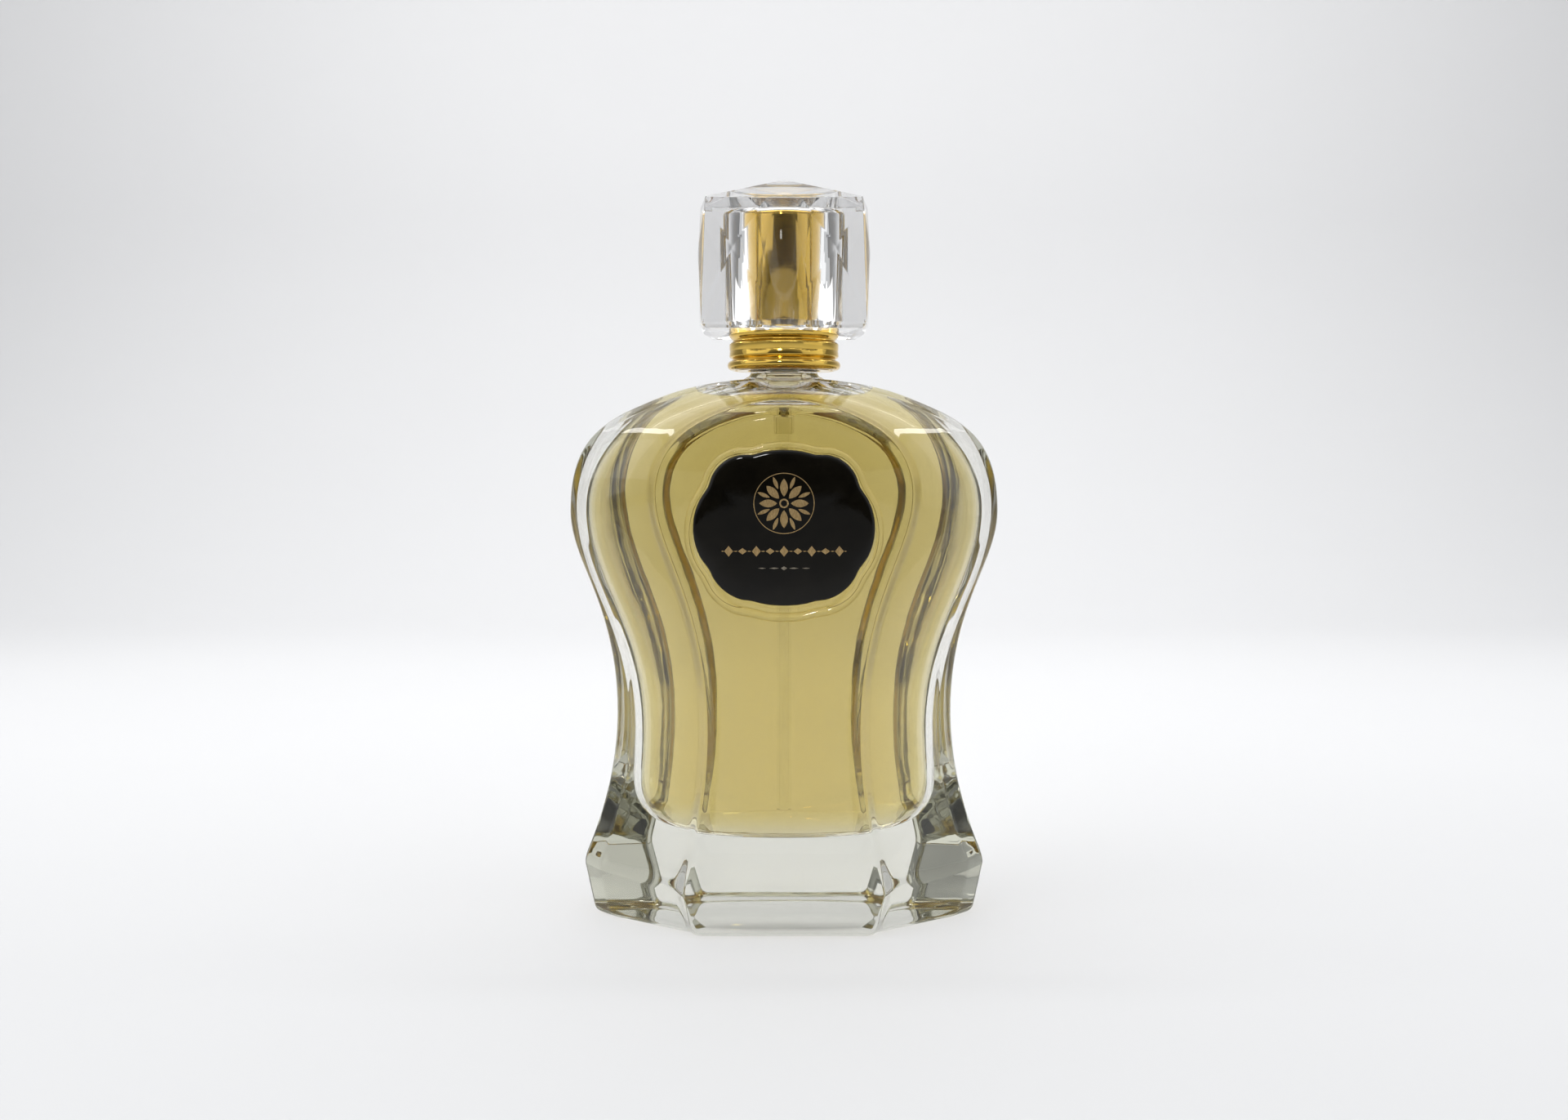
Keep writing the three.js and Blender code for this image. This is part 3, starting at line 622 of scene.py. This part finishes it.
def scallop(steps=14):
    """The eight-lobed outline round (0, 0), anticlockwise, x and z.

    Each lobe rises from one notch to the next by its own amount, in an arch
    between a half ellipse and a parabola.
    """
    notches = np.array([
        (11.9, 6.3), (5.1, 11.4), (-5.1, 11.4), (-11.9, 6.3),
        (-11.8, -6.6), (-5.2, -11.6), (5.2, -11.6), (11.8, -6.6),
    ])
    rises = [2.0, 1.0, 2.0, 2.7, 1.45, 0.9, 1.45, 2.7]
    t = (np.arange(steps) / steps)[:, None]
    parabola = 4 * t * (1 - t)
    arch = 0.5 * np.sqrt(parabola) + 0.5 * parabola
    loop = []
    for i, rise in enumerate(rises):
        start, end = notches[i], notches[(i + 1) % len(notches)]
        along = (end - start) / np.linalg.norm(end - start)
        out = np.array((along[1], -along[0]))
        loop.append(start + (end - start) * t + out * (rise * arch))
    return soften(np.vstack(loop), 2)


def soften(loop, passes):
    """Rounds a closed loop by averaging each point with its neighbours."""
    for _ in range(passes):
        loop = (np.roll(loop, 1, 0) + 2 * loop + np.roll(loop, -1, 0)) / 4
    return loop


def offset_loop(loop, distance):
    """The loop moved outwards by a distance in millimetres."""
    along = np.roll(loop, -1, 0) - np.roll(loop, 1, 0)
    along /= np.linalg.norm(along, axis=1)[:, None]
    return loop + distance * np.column_stack([along[:, 1], -along[:, 0]])


RIM_SCALE = (1.055, 1.1076)
RIM_DROP = 0.7
RIM_HALF_WIDTH = 0.72
RIM_HEIGHT = 0.8
RIM_ROOT = 0.6


def label_rim():
    """The moulded ridge round the plaque, half round and sunk into the panel."""
    ridge = scallop() * RIM_SCALE - (0.0, RIM_DROP)
    angles = np.linspace(0.0, np.pi, 11)
    section = [(RIM_HALF_WIDTH * math.cos(a), RIM_HEIGHT * math.sin(a)) for a in angles]
    section += [(-RIM_HALF_WIDTH, -RIM_ROOT), (RIM_HALF_WIDTH, -RIM_ROOT)]
    count = len(ridge)
    points, faces = [], []
    for across, height in section:
        loop = offset_loop(ridge, across)
        y = np.full(count, -HALF_DEPTH - height)
        points += list(np.column_stack([loop[:, 0], y, loop[:, 1] + PLAQUE_CENTRE]))
    rows = len(section)
    for r in range(rows):
        low, high = r * count, ((r + 1) % rows) * count
        for i in range(count):
            j = (i + 1) % count
            faces.append((low + i, low + j, high + j, high + i))
    return new_object("rim", points, faces)


# The plaque's rise from its back: share of the outline and share of the depth.
DOME = [(1.0, 0.0), (1.0, 0.55), (0.997, 0.68), (0.988, 0.79), (0.972, 0.86), (0.94, 0.905),
        (0.88, 0.935), (0.75, 0.963), (0.5, 0.985), (0.25, 0.996), (0.02, 1.0)]


def make_plaque():
    loop = scallop(18)
    rings = []
    for scale, height in DOME:
        y = np.full(len(loop), PLAQUE_BACK - height * PLAQUE_DEPTH)
        rings.append(np.column_stack([loop[:, 0] * scale, y, loop[:, 1] * scale + PLAQUE_CENTRE]))
    plaque = new_object("plaque", *loft(rings))
    place(plaque, LACQUER, "bottle", ["label_plaque"])


def dome_y(x, z):
    """Depth of the plaque's face at a point near its middle."""
    half_width, half_height = 14.6, 12.5
    scale = math.hypot(x / half_width, (z - PLAQUE_CENTRE) / half_height)
    face = DOME[3:][::-1]
    height = np.interp(scale, [s for s, _ in face], [h for _, h in face])
    return PLAQUE_BACK - height * PLAQUE_DEPTH


def foil(name, outlines, material, nodes):
    """Flat shapes printed on the dome, each a thin closed plate."""
    thickness, sunk = 0.06, 0.02
    points, faces = [], []
    for outline in outlines:
        count, start = len(outline), len(points)
        front = [Vector((x, 0.0, z)) for x, z in outline]
        for lift in (thickness, -sunk):
            points += [(x, dome_y(x, z) - lift, z) for x, z in outline]
        for triangle in tessellate_polygon([front]):
            faces.append(tuple(start + i for i in triangle))
            faces.append(tuple(start + count + i for i in reversed(triangle)))
        for i in range(count):
            j = (i + 1) % count
            faces.append((start + i, start + count + i, start + count + j, start + j))
    piece = new_object(name, points, faces)
    place(piece, material, "bottle", nodes)


def petal(angle, inner, outer, width, count=14):
    """A pointed petal from one radius to another, in the rosette's plane."""
    fullness = 0.8
    t = np.linspace(0.0, 1.0, count)
    radius = inner + (outer - inner) * t
    half = width * np.sin(np.pi * t) ** fullness
    left = np.column_stack([radius, half])
    right = np.column_stack([radius, -half])[1:-1][::-1]
    turn = np.array([[math.cos(angle), -math.sin(angle)], [math.sin(angle), math.cos(angle)]])
    return np.vstack([left, right]) @ turn.T


def ring_band(radius, width, count=72):
    """A thin ring as two half bands, so that each is a simple outline."""
    bands = []
    for start in (0.0, math.pi):
        angles = np.linspace(start, start + math.pi, count // 2)
        arc = np.column_stack([np.cos(angles), np.sin(angles)])
        bands.append(np.vstack([arc * (radius + width), arc[::-1] * radius]))
    return bands


def diamond(x, half_width, half_height):
    """A diamond on the middle line; a very low one reads as a dash."""
    return np.array([(x + half_width, 0), (x, half_height), (x - half_width, 0),
                     (x, -half_height)])


ROSETTE_LOW, ROSETTE_HIGH = node_box("ornament_rosette")
RULE_LOW, RULE_HIGH = node_box("ornament_rule")
ACCENT_LOW, ACCENT_HIGH = node_box("ornament_accent")


def middle_of(low, high):
    """The place of an ornament on the plaque, x and z."""
    return np.array((0.0, (low[2] + high[2]) / 2))


def make_rosette():
    centre = middle_of(ROSETTE_LOW, ROSETTE_HIGH)
    radius = (ROSETTE_HIGH[0] - ROSETTE_LOW[0]) / 2
    petals = 8
    pitch = 2 * math.pi / petals
    outlines = []
    for i in range(petals):
        outlines.append(petal(i * pitch, 1.1, radius * 0.80, 0.62))
        outlines.append(petal((i + 0.5) * pitch, radius * 0.5, radius * 0.93, 0.30))
    outlines += ring_band(0.5, 0.25)
    outlines += ring_band(radius * 0.965, 0.13)
    shifted = [outline + centre for outline in outlines]
    foil("ornament_flower", shifted, FOIL, ["ornament_rosette"])


def make_rule():
    centre = middle_of(RULE_LOW, RULE_HIGH)
    end, pitch, tall, low, line = RULE_HIGH[0], 2.2, 0.85, 0.5, 0.1
    outlines = [diamond(i * pitch, 0.7, low if i % 2 else tall) for i in range(-4, 5)]
    outlines += [diamond((i + 0.5) * pitch, 0.36, line) for i in range(-4, 4)]
    outlines += [diamond(side * (end - 0.25), 0.25, line) for side in (-1, 1)]
    shifted = [outline + centre for outline in outlines]
    foil("ornament_frieze", shifted, FOIL, ["ornament_rule"])


def make_accent():
    centre = middle_of(ACCENT_LOW, ACCENT_HIGH)
    end = ACCENT_HIGH[0]
    outlines = [diamond(0.0, 0.5, 0.32)]
    outlines += [diamond(side * (0.35 * end + 0.1), 0.8, 0.13) for side in (-1, 1)]
    outlines += [diamond(side * (end - 0.7), 0.65, 0.1) for side in (-1, 1)]
    shifted = [outline + centre for outline in outlines]
    foil("ornament_dash", shifted, PALE_FOIL, ["ornament_accent"])


# ---- Collar and cap ------------------------------------------------------


def arc_points(centre, radius, start, end, count=9):
    """Points on an arc of a profile, from one angle in degrees to another."""
    angles = np.radians(np.linspace(start, end, count))
    return [(centre[0] + radius * math.cos(a), centre[1] + radius * math.sin(a)) for a in angles]


GROOVE_TURN = 0.14
GROOVE_CENTRE = 8.85 + GROOVE_TURN

# The collar's outside from the bottom up: centre, radius, first and last angle, points.
COLLAR_ARCS = [
    ((8.93, 92.82), 0.84, -80, 62, 14),
    ((GROOVE_CENTRE, 93.72), GROOVE_TURN, 230, 140, 5),
    ((9.12, 94.42), 0.33, -58, 8, 7),
    ((9.62, 95.25), 0.26, 215, 145, 5),
    ((9.0, 96.28), 0.45, -12, 62, 8),
    ((GROOVE_CENTRE, 97.02), GROOVE_TURN, 225, 135, 5),
    ((8.72, 98.08), 0.76, -52, 90, 14),
]


def make_collar():
    """The ringed collar with the plain turret that the cap's liner goes over."""
    bottom, roof, shoulder, top = COLLAR_LOW[2], 98.35, 98.84, COLLAR_HIGH[2]
    bore, turret, turret_bore = 8.45, 6.0, 5.6
    profile = [(bore, bottom + 0.2), (bore + 0.3, bottom)]
    for arc in COLLAR_ARCS:
        profile += arc_points(*arc)
    profile += list(rounded([(turret, shoulder), (turret, top), (turret_bore, top),
                             (turret_bore, roof)], 0.15, 4, closed=False))
    profile += [(bore, roof)]
    collar = lathe("gold_collar", profile, 160)
    place(collar, GOLD, "bottle", ["collar"], 50.0)


CAP_EDGE = 0.12
FLAT_ANGLE = 0.3
FACET_ANGLE = 0.4
AIR_FILM = 0.2
SLEEVE_TURN = 1.1

# Corners of one side of the cap: across, out from the axis, up from its bottom.
CAP_SIDE = [
    (-13.6, 13.6, 0.7), (-12.9, 12.9, 0.0), (-12.95, 12.95, 21.7), (-8.57, 14.42, 13.0),
    (8.57, 14.42, 13.0), (-2.9, 14.28, 21.3), (2.9, 14.28, 21.3), (0.0, 14.59, 1.4),
    (0.0, 13.9, 0.0),
]


def cap_blank():
    """The convex outside of the cap, its facets whole and its edges eased."""
    bm = bmesh.new()
    corners = [(0.0, 0.0, CAP_HIGH[2])]
    for turn in range(4):
        c, s = [(1, 0), (0, 1), (-1, 0), (0, -1)][turn]
        for x, out, rise in CAP_SIDE:
            corners.append((x * c + out * s, x * s - out * c, CAP_LOW[2] + rise))
    verts = [bm.verts.new(tuple(v * MM for v in corner)) for corner in corners]
    bmesh.ops.remove_doubles(bm, verts=verts, dist=MERGE_DISTANCE)
    bmesh.ops.convex_hull(bm, input=bm.verts[:])
    loose = [v for v in bm.verts if not v.link_faces]
    bmesh.ops.delete(bm, geom=loose, context="VERTS")
    bmesh.ops.dissolve_limit(bm, angle_limit=math.radians(FLAT_ANGLE), verts=bm.verts,
                             edges=bm.edges)
    bmesh.ops.bevel(bm, geom=bm.edges[:], offset=CAP_EDGE * MM, segments=2, profile=0.5,
                    affect="EDGES")
    mesh = bpy.data.meshes.new("cap_crystal")
    bm.to_mesh(mesh)
    bm.free()
    obj = bpy.data.objects.new("cap_crystal", mesh)
    SCENE.collection.objects.link(obj)
    return obj


def make_cap_block():
    """The sleeve stands in a round bore with a thin film of air around it."""
    bore, top = SLEEVE_HIGH[0] + AIR_FILM, SLEEVE_HIGH[2] + AIR_FILM
    recess, step, below = 9.95, 99.95, CAP_LOW[2] - 1
    profile = [(0.0, below), (recess, below), (recess, step), (bore, step + 0.2)]
    profile += arc_points((bore - SLEEVE_TURN, top - SLEEVE_TURN), SLEEVE_TURN, 0, 90, 10)
    profile += [(0.0, top)]
    tool = lathe("bore", profile, 180)
    block = combine(cap_blank(), tool, "DIFFERENCE")
    place(block, CRYSTAL, "cap", ["cap_block"], FACET_ANGLE)
    smooth_bore(block, bore + 0.3)
    pass_light(block)


def smooth_bore(block, radius):
    """Takes the sharp edges off the turned walls and leaves the facets crisp."""
    mesh, under_top = block.data, CAP_HIGH[2] - 4
    points = [vertex.co / MM for vertex in mesh.vertices]
    inside = [math.hypot(p.x, p.y) < radius and p.z < under_top for p in points]
    sharp = mesh.attributes["sharp_edge"].data
    for edge in mesh.edges:
        if all(inside[v] for v in edge.vertices):
            sharp[edge.index].value = False


def make_sleeve():
    outer, top, bottom, wall = SLEEVE_HIGH[0], SLEEVE_HIGH[2], SLEEVE_LOW[2], 0.35
    sleeve = lathe("gold_sleeve", with_round_top(outer, outer - wall, bottom, top), 128)
    place(sleeve, GOLD, "cap", ["cap_sleeve"], 50.0)


def with_round_top(outer, inner, bottom, top):
    """Profile of a closed cup, open below, with a rounded upper edge."""
    radius, edge, ceiling = SLEEVE_TURN, 0.1, top - 0.4
    profile = [(inner, bottom + edge), (inner + edge, bottom), (outer - edge, bottom),
               (outer, bottom + edge)]
    profile += arc_points((outer - radius, top - radius), radius, 0, 90, 10)
    profile += [(0.0, top), (0.0, ceiling)]
    profile += arc_points((inner - radius, ceiling - radius), radius, 90, 0, 8)
    return profile


def make_liner():
    bore, tube, flange = 6.1, 6.5, LINER_HIGH[0]
    low, high = LINER_LOW[2], LINER_HIGH[2]
    plate = low + 0.75
    profile = rounded([(bore, low), (flange, low), (flange, plate), (tube, plate),
                       (tube, high), (bore, high)], 0.15, 4)
    liner = lathe("cap_insert", profile, 128)
    place(liner, WHITE, "cap", ["cap_liner"])


# ---- Spray pump ----------------------------------------------------------


def make_ferrule():
    low, high, outer = FERRULE_LOW[2], FERRULE_HIGH[2], FERRULE_HIGH[0]
    wall, crimp, stem_hole = 0.4, 6.3, 2.1
    inner, ceiling, lap = outer - wall, high - wall, low + wall
    profile = rounded([
        (crimp, low), (outer, low), (outer, high), (stem_hole, high), (stem_hole, ceiling),
        (inner, ceiling), (inner, lap), (crimp, lap),
    ], 0.3, 5)
    place(lathe("ferrule", profile, 128), GOLD, "bottle", ["crimp_ferrule"])


def make_gasket():
    low, high, bore, outer = GASKET_LOW[2], GASKET_HIGH[2], 4.6, 7.3
    profile = rounded([(bore, low), (outer, low), (outer, high), (bore, high)], 0.2, 4)
    place(lathe("gasket", profile, 96), RUBBER, "bottle", ["neck_gasket"])


def make_housing():
    """The pump's barrel, from the socket of the tube up to its flange on the neck."""
    low, high, seat, ball_floor, flange_low = HOUSING_LOW[2], HOUSING_HIGH[2], 84.0, 84.3, 97.1
    socket, tail, inlet, ball_bore = 1.3, 1.7, 0.65, 1.15
    bore, barrel, flange = 3.2, 3.9, 7.2
    profile = rounded([
        (socket, low), (tail, low), (tail, 84.4), (2.2, 84.6), (barrel, 86.2),
        (barrel, flange_low), (flange, flange_low), (flange, high), (bore, high),
        (bore, 87.0), (ball_bore, 86.6), (ball_bore, ball_floor), (inlet, ball_floor),
        (inlet, seat), (socket, seat),
    ], 0.12, 4)
    place(lathe("pump_body", profile, 96), CLOUDY, "bottle", ["pump_housing"])


def make_guide():
    (_, _, low), (_, _, high) = node_box("stem_guide")
    bore, outer = 1.7, 3.1
    profile = rounded([(bore, low), (outer, low), (outer, high), (bore, high)], 0.15, 4)
    place(lathe("guide_ring", profile, 72), WHITE, "bottle", ["stem_guide"])


def make_tube():
    low, high, bore, outer = TUBE_LOW[2], TUBE_HIGH[2], 0.75, 1.25
    profile = rounded([(bore, low), (outer, low), (outer, high), (bore, high)], 0.08, 3)
    tube = lathe("suction_tube", profile, 64)
    place(tube, CLEAR_TUBE, "bottle", ["dip_tube"])
    pass_light(tube)


def make_ball():
    low, high = node_box("inlet_ball")
    radius, z = (high[2] - low[2]) / 2, (high[2] + low[2]) / 2
    ball = lathe("valve_bead", arc_points((0.0, z), radius, -90, 90, 25), 48)
    place(ball, STEEL, "valve_ball", ["inlet_ball"])


def make_stem():
    """The stem; the piston sits between its wide foot and a ring."""
    low, high, seat, ring_low, ring_high = STEM_LOW[2], STEM_HIGH[2], 92.0, 95.2, 95.6
    foot, outer, ring, bore, bore_end = 2.4, 1.6, 2.1, 0.6, 93.0
    profile = rounded([
        (0.0, low), (foot, low), (foot, seat), (outer, seat), (outer, ring_low),
        (ring, ring_low), (ring, ring_high), (outer, ring_high), (outer, high),
        (bore, high), (bore, bore_end), (0.0, bore_end),
    ], 0.1, 4)
    place(lathe("stem_tube", profile, 72), WHITE, "stem", ["pump_stem"])


def make_piston():
    """The seal with its two lips against the barrel."""
    low, high, bore, waist, lip = 92.1, 95.1, 1.7, 2.6, 3.15
    profile = rounded([
        (bore, low), (waist, low), (lip, low + 0.2), (lip, low + 0.8), (waist, low + 1.2),
        (waist, high - 1.2), (lip, high - 0.8), (lip, high - 0.2), (waist, high), (bore, high),
    ], 0.12, 4)
    place(lathe("piston", profile, 72), NATURAL, "stem", ["piston_seal"])


def make_spring():
    """A helix, closer wound towards its ends."""
    wire, turns, sides, even = 0.22, 6.0, 12, 0.35
    radius = SPRING_HIGH[0] - wire
    low, high = SPRING_LOW[2] + wire, SPRING_HIGH[2] - wire
    steps = int(turns * 40)
    section = [2 * math.pi * k / sides for k in range(sides)]
    rings = []
    for i in range(steps + 1):
        t = i / steps
        angle = 2 * math.pi * turns * t
        rise = 0.5 - 0.5 * math.cos(math.pi * t)
        z = low + (high - low) * (even * t + (1 - even) * rise)
        out = np.array((math.cos(angle), math.sin(angle), 0.0))
        centre = out * radius + (0.0, 0.0, z)
        rings.append([centre + wire * (out * math.cos(a) + np.array((0, 0, math.sin(a))))
                      for a in section])
    spring = new_object("coil_spring", *loft(rings))
    place(spring, STEEL, "bottle", ["return_spring"], 60.0)
    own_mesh(spring)


INSERT_HEIGHT = (INSERT_LOW[2] + INSERT_HIGH[2]) / 2


def stand_across(obj, height):
    """Turns a piece made along Z to point forwards at the given height."""
    for vertex in obj.data.vertices:
        x, y, z = vertex.co
        vertex.co = (x, -z, y + height * MM)


def insert_hole(radius):
    """A tool that cuts the hole of the spray insert from the front."""
    back, front = 3.0, 7.0
    hole = lathe("hole", [(0.0, back), (radius, back), (radius, front), (0.0, front)], 64)
    stand_across(hole, INSERT_HEIGHT)
    return hole


def make_head():
    """The head's metal cover, a thin cup with a slightly hollow top."""
    low, high, outer = HEAD_LOW[2], HEAD_HIGH[2], HEAD_HIGH[0]
    inner, edge, radius = outer - 0.35, 0.1, 0.7
    profile = [(inner, low + edge), (inner + edge, low), (outer - edge, low), (outer, low + edge)]
    profile += arc_points((outer - radius, high - radius), radius, 0, 82, 9)
    profile += [(3.6, high - 0.05), (1.8, high - 0.3), (0.0, high - 0.34), (0.0, high - 0.5)]
    profile += [(3.2, high - 0.42), (inner - 0.5, high - 0.4), (inner, high - 0.9)]
    shell = combine(lathe("head_cover", profile, 128), insert_hole(1.8), "DIFFERENCE")
    place(shell, GOLD, "spray_head", ["head_shell"], 50.0)


def make_core():
    """The head's inside, with a skirt, the stem's socket and a duct above it."""
    low, high, outer = CORE_LOW[2], CORE_HIGH[2], CORE_HIGH[0]
    skirt, skirt_top, socket, socket_top, duct, duct_top = 3.2, 106.4, 1.65, 109.1, 0.5, 110.4
    profile = rounded([
        (skirt, low), (outer, low), (outer, high - 0.7), (outer - 0.6, high), (0.0, high),
        (0.0, duct_top), (duct, duct_top), (duct, socket_top), (socket, socket_top),
        (socket, skirt_top), (skirt, skirt_top),
    ], 0.12, 4)
    core = combine(lathe("head_body", profile, 96), insert_hole(1.75), "DIFFERENCE")
    place(core, WHITE, "spray_head", ["head_core"])


def make_insert():
    """The spray insert, dished round a fine orifice."""
    front, back, radius, orifice = -INSERT_LOW[1], 3.2, INSERT_HIGH[0], 0.14
    profile = rounded([
        (orifice, back), (radius, back), (radius, front - 0.1), (1.15, front),
        (0.95, front - 0.3), (0.4, front - 0.35), (orifice, front - 0.45),
    ], 0.08, 4)
    insert = lathe("nozzle", profile, 64)
    stand_across(insert, INSERT_HEIGHT)
    place(insert, WHITE, "spray_head", ["spray_insert"])


def dress_node(node, material):
    """A CAD node whose shape is right gets a finished material."""
    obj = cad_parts[node]
    obj.data.materials.clear()
    obj.data.materials.append(material)


# ---- Floor, light and background -----------------------------------------

FLOOR_DROP = 0.05
LIGHT_BOUNCES = 24
WORLD_TILT = 35.0

# The world's light from dark in front to bright behind and above.
WORLD_TONES = [
    (0.08, (0.03, 0.03, 0.032)), (0.2, (0.09, 0.09, 0.095)),
    (0.34, (0.40, 0.405, 0.415)), (0.5, (0.66, 0.675, 0.69)),
]


def make_stage():
    """A pale floor that turns up into a backdrop behind the bottle."""
    width, near, far, radius, height = 6000.0, -6000.0, 420.0, 220.0, 1100.0
    section = [(near, 0.0), (far, 0.0)]
    section += [(far + radius * math.sin(a), radius * (1 - math.cos(a)))
                for a in np.linspace(0.0, math.pi / 2, 13)[1:]]
    section.append((far + radius, height))
    points, faces = [], []
    for y, z in section:
        points += [(-width, y, z - FLOOR_DROP), (width, y, z - FLOOR_DROP)]
    for i in range(len(section) - 1):
        faces.append((2 * i, 2 * i + 1, 2 * i + 3, 2 * i + 2))
    floor = new_object("floor", points, faces)
    material = principled("floor", (0.66, 0.66, 0.665), 0.7)
    vary_color(material, 3.0, (0.65, 0.65, 0.655), (0.67, 0.67, 0.675))
    floor.data.materials.append(material)
    shade(floor, 60.0)


def area_light(name, place_mm, aim_mm, size_mm, watts):
    data = bpy.data.lights.new(name, "AREA")
    data.shape = "RECTANGLE"
    data.size, data.size_y = (side * MM for side in size_mm)
    data.energy = watts
    light = bpy.data.objects.new(name, data)
    light.location = Vector(place_mm) * MM
    toward = (Vector(aim_mm) - Vector(place_mm)).normalized()
    light.rotation_euler = toward.to_track_quat("-Z", "Y").to_euler()
    SCENE.collection.objects.link(light)


def make_lights():
    aim = (0.0, 0.0, 60.0)
    area_light("key", (-420.0, -240.0, 420.0), aim, (600.0, 600.0), watts=0.8)
    area_light("fill", (460.0, -220.0, 240.0), aim, (500.0, 600.0), watts=0.45)
    area_light("spot", (-70.0, -420.0, 330.0), aim, (40.0, 40.0), watts=0.3)
    area_light("top", (0.0, 120.0, 620.0), aim, (1100.0, 700.0), watts=2.6)
    area_light("backdrop", (0.0, 120.0, 520.0), (0.0, 640.0, 160.0), (900.0, 120.0), watts=2.3)


def make_world():
    """Soft light, strong behind and above the bottle and weak in front of it."""
    world = bpy.data.worlds.new("studio")
    world.use_nodes = True
    nodes, links = world.node_tree.nodes, world.node_tree.links
    where = nodes.new("ShaderNodeTexCoord")
    tilt = nodes.new("ShaderNodeMapping")
    tilt.inputs["Rotation"].default_value = (math.radians(-WORLD_TILT), 0.0, 0.0)
    parts = nodes.new("ShaderNodeSeparateXYZ")
    ramp = nodes.new("ShaderNodeValToRGB")
    set_tones(ramp, WORLD_TONES)
    spread = nodes.new("ShaderNodeMapRange")
    spread.inputs["From Min"].default_value = -1.0
    links.new(where.outputs["Generated"], tilt.inputs["Vector"])
    links.new(tilt.outputs["Vector"], parts.inputs["Vector"])
    links.new(parts.outputs["Y"], spread.inputs["Value"])
    links.new(spread.outputs["Result"], ramp.inputs["Fac"])
    links.new(ramp.outputs["Color"], nodes["Background"].inputs["Color"])
    SCENE.world = world
    SCENE.view_settings.view_transform = "Standard"
    SCENE.cycles.max_bounces = LIGHT_BOUNCES
    SCENE.cycles.transmission_bounces = LIGHT_BOUNCES
    SCENE.cycles.glossy_bounces = LIGHT_BOUNCES


# ---- Assembly ------------------------------------------------------------

make_glass()
make_liquid()
make_plaque()
dress_node("plaque_adhesive", ADHESIVE)
make_rosette()
make_rule()
make_accent()
make_collar()
make_cap_block()
make_sleeve()
make_liner()
make_ferrule()
make_gasket()
make_housing()
make_guide()
make_tube()
make_ball()
make_stem()
make_piston()
make_spring()
make_head()
make_core()
make_insert()
make_stage()
make_lights()
make_world()

bpy.context.view_layer.update()
